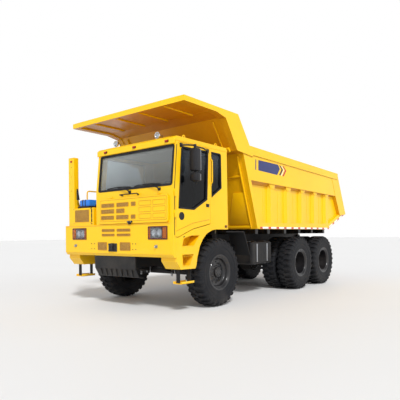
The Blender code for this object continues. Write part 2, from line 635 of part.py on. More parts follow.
# ---------------------------------------------------------------- cab
CAB_SIDE = [(CAB_FRONT_Y, BUMPER_TOP_Z + GAP), (CAB_FRONT_Y, 2.50), (-1.49, CAB_TOP_Z),
            (CAB_REAR_Y - 0.02, CAB_TOP_Z), (CAB_REAR_Y, CAB_BOTTOM_Z),
            (BUMPER_BACK_Y + GAP, CAB_BOTTOM_Z), (BUMPER_BACK_Y + GAP, BUMPER_TOP_Z + GAP)]
CAB_INSIDE = [(CAB_FRONT_Y + CAB_WALL, 1.60), (CAB_FRONT_Y + CAB_WALL, 2.50),
              (-1.49 + CAB_WALL - 0.001, CAB_TOP_Z), (-1.49 + CAB_WALL, 3.50), (CAB_REAR_Y - CAB_WALL, 3.50),
              (CAB_REAR_Y - CAB_WALL, 1.60)]
WINDSHIELD_X = (-0.476, 1.65)
WINDSHIELD_Z = (2.54, 3.29)
QUARTER_WINDOW = [(-0.365, 2.36), (-0.02, 2.57), (-0.03, 3.27), (-0.06, 3.30), (-0.365, 3.30)]
RIGHT_WINDOW = [(-1.38, 2.45), (-0.12, 2.45), (-0.12, 3.28), (-1.30, 3.28)]
REAR_WINDOW_X = (0.05, 1.15)
REAR_WINDOW_Z = (2.62, 3.20)


DOOR_HINGE = (CAB_LEFT_X + 0.016, -1.545, 2.40)
DOOR_HINGE_Z = (1.90, 2.30)


def windshield_y(z):
    """Outer face of the sloping front wall at a height."""
    return CAB_FRONT_Y + (z - 2.50) / (CAB_TOP_Z - 2.50) * (-1.49 - CAB_FRONT_Y)


def build_cab_shell():
    shell = solid("cab_shell", "yellow", side_plate(CAB_SIDE, CAB_RIGHT_X, CAB_LEFT_X))
    cut(shell, side_plate(CAB_INSIDE, CAB_RIGHT_X + CAB_WALL, CAB_LEFT_X - CAB_WALL))
    cut(shell, front_plate(rectangle((WINDSHIELD_X[0], WINDSHIELD_Z[0]), (WINDSHIELD_X[1], WINDSHIELD_Z[1])),
                           -1.75, -1.30))
    cut(shell, front_plate(rectangle((REAR_WINDOW_X[0], REAR_WINDOW_Z[0]), (REAR_WINDOW_X[1],
                                     REAR_WINDOW_Z[1])), 0.05, 0.40))
    opening = grown(DOOR_OUTLINE, MOVING_CLEARANCE)
    below = [(y, z) for y, z in opening if z > 1.9]
    rear_foot = opening[len(DOOR_LOWER_EDGE) - 1]
    cut(shell, side_plate([(opening[0][0], 1.40), (rear_foot[0], 1.40)] + below, 1.60, 1.80))
    cut(shell, side_plate(QUARTER_WINDOW, 1.60, 1.80))
    cut(shell, side_plate(RIGHT_WINDOW, -0.70, -0.45))
    for x in FLAP_HINGE_X:
        start, end = x + HINGE_LENGTH + PIN_CLEARANCE, x + 1.6 * HINGE_LENGTH
        add(shell, rod((start, *FLAP_HINGE), (end, *FLAP_HINGE), HINGE_RADIUS, SMALL_ROUND),
            block((start + 0.001, FLAP_HINGE[0], FLAP_HINGE[1] - 0.008),
                  (end - 0.001, CAB_FRONT_Y + 0.01, FLAP_HINGE[1] + 0.008)))
    x, y = DOOR_HINGE[:2]
    for z in DOOR_HINGE_Z:
        low, high = z + HINGE_LENGTH + PIN_CLEARANCE, z + 1.8 * HINGE_LENGTH
        add(shell, rod((x, y, low), (x, y, high), HINGE_RADIUS, SMALL_ROUND),
            block((CAB_LEFT_X - 0.01, y - 0.02, low + 0.001), (x, y - 0.001, high - 0.001)))
    return shell


def build_glass():
    middle = CAB_LEFT_X - CAB_WALL / 2
    pane = GLASS_THICKNESS / 2
    slope = [(windshield_y(WINDSHIELD_Z[0] + GAP) + 0.02, WINDSHIELD_Z[0] + GAP),
             (windshield_y(WINDSHIELD_Z[1] - GAP) + 0.02, WINDSHIELD_Z[1] - GAP)]
    outline = slope + [(y + GLASS_THICKNESS, z) for y, z in reversed(slope)]
    solid("windshield", "glass", side_plate(outline, WINDSHIELD_X[0] + GAP, WINDSHIELD_X[1] - GAP))
    solid("quarter_glass", "glass", side_plate(grown(QUARTER_WINDOW, -GAP), middle - pane, middle + pane))
    right = CAB_RIGHT_X + CAB_WALL / 2
    solid("right_glass", "glass", side_plate(grown(RIGHT_WINDOW, -GAP), right - pane, right + pane))
    rear = CAB_REAR_Y - CAB_WALL / 2 - 0.005
    window = rectangle((REAR_WINDOW_X[0], REAR_WINDOW_Z[0]), (REAR_WINDOW_X[1], REAR_WINDOW_Z[1]))
    solid("rear_glass", "glass", front_plate(grown(window, -GAP), rear - pane, rear + pane))


def build_cab_roof():
    outline = [(-1.53, 3.31), (-1.503, 3.31), (-1.503, CAB_TOP_Z + GAP), (CAB_REAR_Y, CAB_TOP_Z + GAP),
               (CAB_REAR_Y, ROOF_TOP_Z - 0.04), (CAB_REAR_Y - 0.05, ROOF_TOP_Z), (-1.46, ROOF_TOP_Z),
               (-1.53, ROOF_TOP_Z - 0.05)]
    roof = solid("cab_roof", "yellow", side_plate(outline, CAB_RIGHT_X - 0.02, CAB_LEFT_X))
    bevel = roof.modifiers.new("edges", "BEVEL")
    bevel.width = 0.02
    bevel.segments = 2
    bevel.limit_method = "ANGLE"
    return roof


def build_cab_floor():
    inside = GAP
    return solid("cab_floor", "black",
                 block((CAB_RIGHT_X + CAB_WALL + inside, BUMPER_BACK_Y + GAP, CAB_BOTTOM_Z),
                       (FENDER_SKIN_X - FENDER_SKIN_ROOT - inside, CAB_REAR_Y - CAB_WALL - inside,
                        CAB_BOTTOM_Z + CAB_FLOOR_THICKNESS)))


def build_door():
    door = solid("door_left", "yellow", side_plate(DOOR_OUTLINE, CAB_LEFT_X - CAB_WALL, CAB_LEFT_X),
                 DOOR_HINGE)
    cut(door, side_plate(DOOR_WINDOW, 1.55, 1.80))
    x, y = DOOR_HINGE[:2]
    for z in DOOR_HINGE_Z:
        add(door, rod((x, y, z), (x, y, z + HINGE_LENGTH), HINGE_RADIUS, SMALL_ROUND),
            block((CAB_LEFT_X + MOVING_CLEARANCE, y + 0.001, z + 0.001), (x, y + 0.05,
                  z + HINGE_LENGTH - 0.001)),
            block((CAB_LEFT_X - 0.01, y + 0.025, z + 0.002), (x - 0.002, y + 0.049,
                  z + HINGE_LENGTH - 0.002)))
    middle = CAB_LEFT_X - CAB_WALL / 2
    pane = GLASS_THICKNESS / 2
    solid("door_glass", "glass", side_plate(grown(DOOR_WINDOW, -GAP), middle - pane, middle + pane),
          DOOR_HINGE)
    mirror = solid("mirror_left", "plastic", block((1.83, -1.14, 2.80), (MIRROR_OUT_X, -0.98, 3.25)),
                   DOOR_HINGE)
    add(mirror, block((1.83, -1.15, 2.62), (MIRROR_OUT_X, -0.97, 2.77)),
        rod((1.90, -1.06, 2.70), (1.90, -1.06, 3.31), 0.016, SMALL_ROUND),
        block((1.87, -1.09, 3.27), (1.93, -1.03, 3.33)),
        rod((1.89, -1.075, 3.305), (CAB_LEFT_X + 0.015, -1.34, 3.30), 0.016, SMALL_ROUND),
        rod((1.892, -1.045, 3.303), (CAB_LEFT_X + 0.016, -0.50, 3.304), 0.016, SMALL_ROUND),
        block((CAB_LEFT_X + GAP, -1.38, 3.265), (CAB_LEFT_X + 0.03, -1.31, 3.335)),
        block((CAB_LEFT_X + GAP, -0.54, 3.265), (CAB_LEFT_X + 0.03, -0.47, 3.335)))


def build_cab_inside():
    front = CAB_FRONT_Y + CAB_WALL + GAP
    outline = [(front, 1.95), (front, 2.50), (-1.15, 2.46), (-1.10, 2.38), (-1.15, 2.12), (-1.30, 1.95)]
    solid("dashboard", "plastic", side_plate(outline, CAB_RIGHT_X + CAB_WALL + GAP, 1.58))
    hub = Vector((STEERING_WHEEL_X, -0.90, 2.56))
    axis = Vector((0, -0.50, -0.70)).normalized()
    wheel = solid("steering_wheel", "plastic", rod(hub, hub + axis * 0.03, 0.22, ROUND))
    cut(wheel, rod(hub - axis * 0.02, hub + axis * 0.05, 0.185, ROUND))
    add(wheel, rod(hub - axis * 0.005, hub + axis * 0.045, 0.06, SMALL_ROUND))
    for angle in (0, 120, 240):
        spoke = Vector((math.cos(math.radians(angle + 90)), math.sin(math.radians(angle + 90)), 0))
        turn = Vector((0, 0, 1)).rotation_difference(-axis)
        spoke.rotate(turn)
        add(wheel, rod(hub + axis * 0.015, hub + axis * 0.015 + spoke * 0.20, 0.012, 6))
    add(wheel, rod(hub + axis * 0.03, hub + axis * 0.44, 0.03, SMALL_ROUND))
    cut(wheel, side_plate(grown(outline, GAP), CAB_RIGHT_X, CAB_LEFT_X))
    floor_top = CAB_BOTTOM_Z + CAB_FLOOR_THICKNESS + GAP
    base = solid("driver_seat_base", "plastic",
                 block((SEAT_X - 0.20, -0.62, floor_top), (SEAT_X + 0.20, -0.16, 1.95)))
    add(base, block((SEAT_X - 0.24, -0.68, 1.94), (SEAT_X + 0.24, -0.12, 2.08)))
    pad = solid("driver_seat_pad", "seat",
                block((SEAT_X - 0.25, -0.70, 2.08 + GAP), (SEAT_X + 0.25, -0.14, 2.22)))
    add(pad, side_plate([(-0.24, 2.15), (-0.12, 2.15), (0.02, 2.92), (-0.08, 2.92)], SEAT_X - 0.24,
                        SEAT_X + 0.24))


# ---------------------------------------------------------------- bed
CANOPY_Z = ROOF_TOP_Z + CANOPY_OVER_ROOF
BED_TOP = [(-1.32, CANOPY_Z + 0.114), (0.57, CANOPY_Z + 0.124), (1.046, 3.648), (6.551, 3.546),
           (TAIL_Y, 2.211)]
CANOPY_LOWER = [(-1.32, CANOPY_Z), (-0.264, CANOPY_Z + 0.007), (0.084, CANOPY_Z - 0.06), (0.522, 3.455)]
WALL_TOP = (0.80, 3.44)
WALL_FOOT = (1.41, BED_FLOOR_Z)
KICK_Y = 5.86
KICK_Z = 1.727
FLOOR_TAIL = (TAIL_Y - 0.02, 2.211)
RIB_CENTRES = (2.195, 3.095, 3.978, 4.84, 5.722)
BOLSTER_LOW_Z = 2.84


def wall_y(z):
    """Front face of the raked front wall at a height."""
    share = (z - WALL_FOOT[1]) / (WALL_TOP[1] - WALL_FOOT[1])
    return WALL_FOOT[0] + share * (WALL_TOP[0] - WALL_FOOT[0])


def strip(start, end, width):
    """Band along a segment, its width measured to the right of the way from start to end."""
    start, end = Vector(start), Vector(end)
    along = (end - start).normalized()
    inward = Vector((along.y, -along.x)) * width
    return [tuple(start), tuple(end), tuple(end + inward), tuple(start + inward)]


def bed_side(label, side):
    inner = BED_INNER_HALF_WIDTH
    outer = BED_HALF_WIDTH

    def plate(outline, depth_x, reveal=STIFFENER_REVEAL):
        """Stiffener rooted in the skin, its edges a little inside the skin's edges."""
        return side_plate(grown(outline, -reveal), *sorted((side * (inner + BED_WALL / 2), side * depth_x)))

    whole = CANOPY_LOWER + [WALL_TOP, WALL_FOOT, (KICK_Y, KICK_Z), (TAIL_Y, 2.211)] + BED_TOP[-2::-1]
    item = solid("bed_side_" + label, "yellow",
                 side_plate(whole, *sorted((side * inner, side * (inner + BED_WALL)))))
    neck = CANOPY_LOWER + [(1.20, 3.40), (1.20, 3.645)] + BED_TOP[2::-1]
    add(item, plate(neck, outer))
    add(item, plate(strip((1.00, 3.649), BED_TOP[3], 0.205), outer - 0.001, 1.5 * STIFFENER_REVEAL))
    add(item, plate([(6.551, 3.546), (TAIL_Y, 2.211), (6.743, 2.163), (6.362, 2.789), (6.08, 3.34),
                     (6.08, 3.55)], 1.752, 2 * STIFFENER_REVEAL))
    bolster = [(wall_y(BOLSTER_LOW_Z), BOLSTER_LOW_Z), (6.38, 2.79), (6.10, 3.45), (0.96, 3.60),
               WALL_TOP]
    add(item, plate(bolster, 1.745, 2.5 * STIFFENER_REVEAL))
    foot_z, crown_z = BOLSTER_LOW_Z - 0.10, BOLSTER_LOW_Z + 0.02
    slope = [(side * (inner + 0.02), foot_z), (side * 1.744, crown_z), (side * (inner + 0.02), crown_z)]
    add(item, front_plate(slope, wall_y(foot_z) + 0.01, 6.36))
    bottom = [WALL_FOOT, (KICK_Y, KICK_Z), (TAIL_Y, 2.211), (7.20, 2.36), (KICK_Y - 0.03, KICK_Z + 0.15),
              (wall_y(1.84), 1.84)]
    add(item, plate(bottom, 1.722, 1.25 * STIFFENER_REVEAL))
    post = [WALL_TOP, WALL_FOOT, (WALL_FOOT[0] + 0.14, BED_FLOOR_Z), (WALL_TOP[0] + 0.14, WALL_TOP[1])]
    add(item, plate(post, 1.742, 3 * STIFFENER_REVEAL))
    for centre in RIB_CENTRES:
        rib = [(side * (inner + 0.03), centre - 0.15), (side * 1.72, centre - 0.10),
               (side * 1.72, centre + 0.10), (side * (inner + 0.03), centre + 0.15)]
        add(item, floor_plate(rib, 1.80, BOLSTER_LOW_Z - 0.02))
    return item


def build_bed():
    for label, side in (("left", 1), ("right", -1)):
        bed_side(label, side)
    inside = BED_INNER_HALF_WIDTH - GAP
    top = BED_FLOOR_Z + BED_FLOOR_THICKNESS
    floor = [WALL_FOOT, (KICK_Y, BED_FLOOR_Z), (FLOOR_TAIL[0], FLOOR_TAIL[1] - BED_FLOOR_THICKNESS / 2),
             (FLOOR_TAIL[0] - 0.02, FLOOR_TAIL[1] + BED_FLOOR_THICKNESS / 2), (KICK_Y - 0.02, top),
             (WALL_FOOT[0], top)]
    deck = solid("bed_floor", "yellow", side_plate(floor, -inside, inside))
    beam_inner, beam_outer = RAIL_INNER_X, RAIL_INNER_X + SUBFRAME_BEAM_WIDTH
    spans = ((-inside, -beam_outer - GAP), (-beam_inner + GAP, beam_inner - GAP), (beam_outer + GAP, inside))
    for centre in (WALL_FOOT[0] + 0.19,) + RIB_CENTRES:
        for x_low, x_high in spans:
            add(deck, block((x_low, centre - BEARER_WIDTH / 2, BED_FLOOR_Z - BEARER_DEPTH),
                            (x_high, centre + BEARER_WIDTH / 2, BED_FLOOR_Z + BED_FLOOR_THICKNESS / 2)))
    foot = (wall_y(top + GAP), top + GAP)
    wall = solid("bed_front_wall", "orange",
                 side_plate([WALL_TOP, foot, (foot[0] + 0.05, foot[1]), (WALL_TOP[0] + 0.05, WALL_TOP[1])],
                            -inside, inside))
    cheeks = [(wall_y(3.05) + 0.03, 3.05), (wall_y(2.74) + 0.03, 2.74), (HOIST_EYE_Y - 0.05, 2.80),
              (HOIST_EYE_Y - 0.05, 2.92)]
    for side in (1, -1):
        add(wall, side_plate(cheeks, *sorted((side * HOIST_CHEEK_X, side * (HOIST_CHEEK_X + 0.035)))))
    lip = 0.035
    upper = [(y, z + 0.035) for y, z in CANOPY_LOWER] + [(WALL_TOP[0], WALL_TOP[1] + GAP)]
    under = [(WALL_TOP[0] + 0.05, WALL_TOP[1] + GAP), (WALL_TOP[0] + 0.05, WALL_TOP[1] + lip),
             (0.55, 3.53), (0.15, CANOPY_Z - 0.02), (-0.25, CANOPY_Z + 0.075), (-1.32, CANOPY_Z + 0.075)]
    canopy = solid("bed_canopy", "orange", side_plate(upper + under, -inside, inside))
    add(canopy, block((-inside, -1.32, CANOPY_Z), (inside, -1.26, CANOPY_Z + 0.114)))
    for x in (-1.1, -0.37, 0.37, 1.1):
        add(canopy, side_plate([(-1.27, CANOPY_Z + 0.005), (-0.30, CANOPY_Z + 0.01), (-0.30, CANOPY_Z + 0.05),
                                (-1.27, CANOPY_Z + 0.05)], x - 0.05, x + 0.05))
    beam_low = RAIL_TOP_Z + GAP
    beam_high = BED_FLOOR_Z - GAP
    beam = [(1.45, beam_low), (5.90, beam_low), (HINGE_Y - 0.02, HINGE_Z - 0.10),
            (HINGE_Y + 0.10, HINGE_Z), (HINGE_Y + 0.16, beam_high), (1.42, beam_high)]
    pivot = (0, HINGE_Y, HINGE_Z)
    subframe = solid("bed_subframe", "black", side_plate(beam, beam_inner, beam_outer), pivot)
    add(subframe, side_plate(beam, -beam_outer, -beam_inner),
        rod((-beam_outer, HINGE_Y, HINGE_Z), (beam_outer, HINGE_Y, HINGE_Z), HINGE_BOSS_RADIUS))
    cut(subframe, rod((-0.8, HINGE_Y, HINGE_Z), (0.8, HINGE_Y, HINGE_Z), HINGE_PIN_RADIUS + PIN_CLEARANCE))


# ---------------------------------------------------------------- hoist
def build_hoist():
    """Telescopic cylinder between the frame and the bed's front wall, its tubes nested at rest."""
    base = Vector((0, HOIST_BASE_Y, HOIST_BASE_Z))
    eye = Vector((0, HOIST_EYE_Y, HOIST_EYE_Z))
    axis = (eye - base).normalized()
    length = (eye - base).length
    radius = HOIST_BARREL_RADIUS
    tube_low, tube_high = 0.10, length - 0.16
    bore_low = tube_low + 0.03

    def along(distance):
        return base + axis * distance

    barrel = solid("hoist_barrel", "steel", rod(along(tube_low), along(tube_high), radius), tuple(base),
                   smooth=True)
    cut(barrel, rod(along(bore_low), along(length), radius - HOIST_WALL))
    add(barrel, block((-0.065, HOIST_BASE_Y - 0.06, HOIST_BASE_Z - 0.055),
                      (0.065, HOIST_BASE_Y + 0.06, HOIST_BASE_Z + 0.13)))
    cut(barrel, rod((-0.2, *base.yz), (0.2, *base.yz), HOIST_PIN_RADIUS + PIN_CLEARANCE))
    for stage in range(HOIST_STAGES):
        radius -= HOIST_STEP
        bore_low += 0.006
        item = solid("hoist_stage_%d" % (stage + 1), "steel",
                     rod(along(bore_low), along(tube_high + 0.012 * (stage + 1)), radius), tuple(base),
                     smooth=True)
        bore_low += 0.02
        cut(item, rod(along(bore_low), along(length), radius - HOIST_WALL))
    radius -= HOIST_STEP
    piston = solid("hoist_rod", "steel",
                   rod(along(bore_low + 0.006), along(length - 0.03), radius), tuple(base), smooth=True)
    half = Vector((HOIST_EYE_HALF_WIDTH, 0, 0))
    add(piston, rod(eye - half, eye + half, 0.06))


build_wheels()
build_main_frame()
build_front_axle()
rear_axle_housing("middle_axle", MIDDLE_AXLE_Y)
rear_axle_housing("rear_axle", REAR_AXLE_Y)
build_bogie()
build_driveline()
build_chassis_boxes()
knuckle("left", 1)
knuckle("right", -1)
build_tie_rod()
build_bumper()
build_flap()
build_fenders()
build_steps()
build_right_deck()
build_cab_shell()
build_glass()
build_cab_roof()
build_cab_floor()
build_door()
build_cab_inside()
build_bed()
build_hoist()
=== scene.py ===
# Looks for the mining dump truck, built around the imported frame.
import math

import bmesh
import bpy
from mathutils import Matrix, Vector


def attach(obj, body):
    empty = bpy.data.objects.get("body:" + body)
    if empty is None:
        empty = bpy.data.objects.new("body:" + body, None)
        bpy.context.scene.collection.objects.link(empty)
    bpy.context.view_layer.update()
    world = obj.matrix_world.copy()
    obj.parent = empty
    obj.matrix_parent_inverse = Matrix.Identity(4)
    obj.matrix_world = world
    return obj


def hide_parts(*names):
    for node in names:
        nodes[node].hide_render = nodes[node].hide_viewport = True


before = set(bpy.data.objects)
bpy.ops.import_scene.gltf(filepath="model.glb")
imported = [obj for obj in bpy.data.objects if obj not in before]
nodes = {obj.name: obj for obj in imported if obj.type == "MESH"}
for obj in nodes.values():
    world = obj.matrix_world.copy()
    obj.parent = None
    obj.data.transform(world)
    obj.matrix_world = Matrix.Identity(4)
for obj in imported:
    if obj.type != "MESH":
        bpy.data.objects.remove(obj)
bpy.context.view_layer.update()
print("stage: frame loaded")

# Pieces are drawn from the middle of the front axle, on the ground. Front is -Y, +X is the driver's side.
frontAxle = Vector((-0.10, -2.8085, 0.0))
sides = ((1, "left"), (-1, "right"))


# ---- materials
def overload(operation, swapped=False):
    def apply(self, other):
        return self.maths(operation, *((other, self) if swapped else (self, other)))
    return apply


class Field:
    def __init__(self, tree, socket):
        self.tree = tree
        self.socket = socket

    def maths(self, operation, first, second):
        node = self.tree.nodes.new("ShaderNodeMath")
        node.operation = operation
        for place, item in zip(node.inputs, (first, second)):
            if isinstance(item, Field):
                self.tree.links.new(item.socket, place)
            else:
                place.default_value = item
        return Field(self.tree, node.outputs[0])

    __add__, __radd__ = overload("ADD"), overload("ADD", True)
    __sub__, __rsub__ = overload("SUBTRACT"), overload("SUBTRACT", True)
    __mul__, __rmul__ = overload("MULTIPLY"), overload("MULTIPLY", True)
    __mod__, __gt__, __lt__ = overload("FLOORED_MODULO"), overload("GREATER_THAN"), overload("LESS_THAN")


class Finish:
    def __init__(self, name, **uniform):
        self.material = bpy.data.materials.new(name)
        self.material.use_nodes = True
        self.tree = self.material.node_tree
        self.shader = self.tree.nodes["Principled BSDF"]
        for socket, value in uniform.items():
            self.shader.inputs[socket.replace("_", " ")].default_value = value
        self.place = self.node("ShaderNodeTexCoord", output="Object")

    def node(self, kind, settings=None, sockets=None, output=0):
        made = self.tree.nodes.new(kind)
        for key, value in (settings or {}).items():
            setattr(made, key, value)
        for key, value in (sockets or {}).items():
            if isinstance(value, Field):
                self.tree.links.new(value.socket, made.inputs[key])
            else:
                made.inputs[key].default_value = value
        return Field(self.tree, made.outputs[output])

    def noise(self, scale, detail=3.0, roughness=0.55):
        sockets = {"Vector": self.place, "Scale": scale, "Detail": detail, "Roughness": roughness}
        return self.node("ShaderNodeTexNoise", {}, sockets, "Fac")

    def axis(self, letter):
        return self.node("ShaderNodeSeparateXYZ", {}, {"Vector": self.place}, letter)

    def ramp(self, field, low, high):
        sockets = {"Value": field, "From Min": low, "From Max": high}
        return self.node("ShaderNodeMapRange", {"clamp": True}, sockets)

    def mix(self, amount, first, second):
        first = first if isinstance(first, Field) else (*first, 1.0)
        second = second if isinstance(second, Field) else (*second, 1.0)
        return self.node("ShaderNodeMix", {"data_type": "RGBA"}, {0: amount, 6: first, 7: second}, 2)

    def feed(self, socket, field):
        self.tree.links.new(field.socket, self.shader.inputs[socket])

    def finished(self, colour, roughness, normal=None):
        self.feed("Base Color", colour)
        self.feed("Roughness", roughness)
        if normal:
            self.feed("Normal", normal)
        return self.material

    def bump(self, height, distance, strength=1.0, under=None):
        sockets = {"Height": height, "Distance": distance, "Strength": strength}
        if under:
            sockets["Normal"] = under
        return self.node("ShaderNodeBump", {}, sockets, "Normal")

    # edges rounded for the light, and a mask of where the paint has rubbed thin along them
    def softEdges(self, radius):
        rounded = self.node("ShaderNodeBevel", {"samples": 4}, {"Radius": radius}, "Normal")
        flat = self.node("ShaderNodeNewGeometry", {}, {}, "Normal")
        sockets = {0: rounded, 1: flat}
        along = self.node("ShaderNodeVectorMath", {"operation": "DOT_PRODUCT"}, sockets, "Value")
        return rounded, self.ramp(1 - along, 0.02, 0.22)


# paintedShade holds the orange-brown colour painted onto faces turned downward, a painted shade for the
# undersides of overhangs
paintSizes = {
    "yellow": (0.93, 0.560, 0.0005), "deepYellow": (0.89, 0.505, 0.0005), "dust": (0.55, 0.42, 0.22),
    "primer": (0.30, 0.17, 0.05), "paintedShade": (0.40, 0.115, 0.004), "edgeRadius": 0.007, "roughness": 0.33,
    "dustTop": 1.5,
}


def paintFinish(name, colour, deep, dustShare, edgeShare, paintedShade=0.0, paintedShadeBelow=0.0):
    finish = Finish(name, Coat_Roughness=0.08, Coat_IOR=1.4, Specular_IOR_Level=0.3)
    broad = finish.noise(0.9, 4.0)
    fine = finish.noise(46.0, 3.0, 0.6)
    speck = finish.noise(9.0, 6.0, 0.7)
    height = finish.axis("Z")
    low = 1 - finish.ramp(height, 0.3, paintSizes["dustTop"])
    dusty = low * finish.ramp(speck, 0.35, 0.75) * dustShare
    rounded, edge = finish.softEdges(paintSizes["edgeRadius"])
    worn = edge * finish.ramp(speck, 0.56, 0.70) * edgeShare
    painted = finish.mix(finish.ramp(broad, 0.3, 0.7), deep, colour)
    # faces turned downward are darkened towards orange-brown: a painted shade standing in for the shade under the
    # canopy, the front wall and other overhangs
    if paintedShade:
        normal = finish.node("ShaderNodeTexCoord", output="Normal")
        facing = finish.node("ShaderNodeSeparateXYZ", {}, {"Vector": normal}, "Z")
        under = finish.ramp(facing, -0.08, -0.75)
        painted = finish.mix(under * (0.75 + 0.35 * speck) * paintedShade, painted, paintSizes["paintedShade"])
    painted = finish.mix(dusty, painted, paintSizes["dust"])
    painted = finish.mix(worn, painted, paintSizes["primer"])
    # below this height the paint is turned near-black: a painted shade over the bearers under the bed floor
    if paintedShadeBelow:
        painted = finish.mix(height < paintedShadeBelow, painted, (0.010, 0.009, 0.008))
    finish.feed("Coat Weight", 0.22 - 0.2 * dusty)
    rough = paintSizes["roughness"] + 0.10 * speck + 0.35 * dusty + 0.2 * worn
    return finish.finished(painted, rough, finish.bump(fine + 2.0 * broad, 0.0006, 0.35, rounded))


def metalFinish(name, colour, roughness, grain, metallic=0.0, dust=(0.16, 0.13, 0.10), dustShare=0.3,
                edge=0.0, coat=0.0, pitting=0.4):
    finish = Finish(name, Metallic=metallic, Coat_Weight=coat, Specular_IOR_Level=0.35)
    broad = finish.noise(1.7, 5.0, 0.65)
    fine = finish.noise(grain, 4.0, 0.7)
    rounded, edges = finish.softEdges(0.004)
    dusty = finish.ramp(broad, 0.42, 0.78) * dustShare
    base = finish.mix(dusty, colour, dust)
    base = finish.mix(edges * edge, base, (0.32, 0.32, 0.33))
    return finish.finished(base, roughness + 0.18 * fine + 0.2 * dusty,
        finish.bump(fine, 0.0008, pitting, rounded))


def rubberFinish():
    finish = Finish("tyreRubber", Specular_IOR_Level=0.2)
    broad = finish.noise(2.3, 5.0)
    fine = finish.noise(90.0, 4.0, 0.7)
    low = 1 - finish.ramp(finish.axis("Z"), 0.0, 0.5)
    dusty = finish.ramp(broad, 0.45, 0.75) * (0.12 + 0.35 * low)
    tint = finish.mix(dusty, (0.012, 0.0125, 0.015), (0.085, 0.078, 0.070))
    return finish.finished(tint, 0.58 + 0.22 * fine, finish.bump(fine, 0.0012, 0.5))


def glassFinish(name, colour, clear, paintedReflection, refraction=1.45):
    finish = Finish(name, Transmission_Weight=clear, IOR=refraction, Coat_Weight=0.15, Coat_Roughness=0.01)
    smear = finish.noise(1.6, 3.0, 0.5)
    # the glass colour lightens upward and towards the left: a painted reflection of the bright sky; the smear
    # noise breaks its edge and also roughens the glass
    reflectionMask = finish.ramp(finish.axis("Z") - 0.35 * finish.axis("X") + 0.5 * smear, 2.35, 3.65)
    return finish.finished(finish.mix(reflectionMask, colour, paintedReflection), 0.015 + 0.05 * smear)


def meshFinish():
    finish = Finish("ventMesh")
    across, up = finish.axis("X"), finish.axis("Z")
    pitch, wire = 0.016, 0.005
    uprights, levels = (across % pitch) < wire, (up % pitch) < wire
    bars = uprights.maths("MAXIMUM", uprights, levels)
    grime = finish.noise(14.0, 4.0)
    colour = finish.mix(finish.ramp(grime, 0.3, 0.7), (0.62, 0.33, 0.03), (0.42, 0.21, 0.03))
    # the gaps between the wires are painted dark brown: painted shade of the space behind the mesh
    tint = finish.mix(bars, (0.17, 0.08, 0.015), colour)
    return finish.finished(tint, 0.55 + 0.2 * grime, finish.bump(bars, 0.003, 0.8))


def lensFinish(name, colour, clear=0.75):
    finish = Finish(name, Transmission_Weight=clear, IOR=1.2, Coat_Weight=0.6, Coat_Roughness=0.02)
    across, up = finish.axis("X"), finish.axis("Z")
    flutes = (across % 0.02).maths("PINGPONG", across, 0.008) + 0.5 * up.maths("PINGPONG", up, 0.02)
    cloud = finish.noise(22.0, 3.0)
    tint = finish.mix(finish.ramp(cloud, 0.3, 0.8), colour, [0.8 * part for part in colour])
    return finish.finished(tint, 0.06 + 0.08 * cloud, finish.bump(flutes, 0.02, 0.35))


def clothFinish():
    finish = Finish("seatCloth", Sheen_Weight=0.1, Sheen_Roughness=0.5)
    threads = 900.0
    across = finish.axis("X").maths("MULTIPLY", finish.axis("X"), threads)
    along = (finish.axis("Y") + finish.axis("Z")) * threads
    weave = across.maths("SINE", across, 0.0) * along.maths("SINE", along, 0.0)
    shade = finish.noise(30.0, 4.0)
    tint = finish.mix(finish.ramp(shade + 0.15 * weave, 0.2, 0.8), (0.018, 0.018, 0.022), (0.07, 0.07, 0.08))
    return finish.finished(tint, 0.82 + 0.1 * shade, finish.bump(weave, 0.0005, 0.6))


def plasticFinish(name, colour, roughness, grain=160.0):
    finish = Finish(name, Specular_IOR_Level=0.28)
    broad = finish.noise(4.0, 4.0)
    fine = finish.noise(grain, 2.0, 0.6)
    rounded, edges = finish.softEdges(0.004)
    tint = finish.mix(finish.ramp(broad, 0.3, 0.8), colour, [part * 1.5 + 0.006 for part in colour])
    return finish.finished(tint, roughness + 0.15 * fine, finish.bump(fine, 0.0006, 0.4, rounded))


def tapeFinish():
    finish = Finish("reflectiveTape", Coat_Weight=0.5)
    along = finish.axis("Y")
    red = (along % 0.42) < 0.14
    cells = finish.node("ShaderNodeTexVoronoi", {"feature": "DISTANCE_TO_EDGE"},
                        {"Vector": finish.place, "Scale": 130.0}, "Distance")
    wear = finish.noise(8.0, 4.0)
    tint = finish.mix(red, (0.86, 0.85, 0.82), (0.55, 0.01, 0.01))
    return finish.finished(tint, 0.28 + 0.15 * wear, finish.bump(cells, 0.004, 0.3))


def decalFinish(name, colour):
    finish = Finish(name)
    wear = finish.noise(7.0, 6.0, 0.7)
    grain = finish.noise(60.0, 3.0)
    tint = finish.mix(finish.ramp(wear, 0.3, 0.8), colour, [part * 1.3 + 0.004 for part in colour])
    return finish.finished(tint, 0.34 + 0.12 * grain, finish.bump(grain, 0.0004, 0.3))


yellow = paintFinish("truckYellow", paintSizes["yellow"], paintSizes["deepYellow"], 0.35, 0.5)
# the bed paints darken faces turned downward with painted shade
bedYellow = paintFinish("bedYellow", paintSizes["yellow"], (0.90, 0.52, 0.002), 0.30, 0.7, 0.85)
# the floor paint is also painted near-black below 1.688 m, a painted shade for the bearers under the bed
floorYellow = paintFinish("floorYellow", paintSizes["yellow"], (0.88, 0.48, 0.002), 0.45, 0.9, 0.85, 1.688)
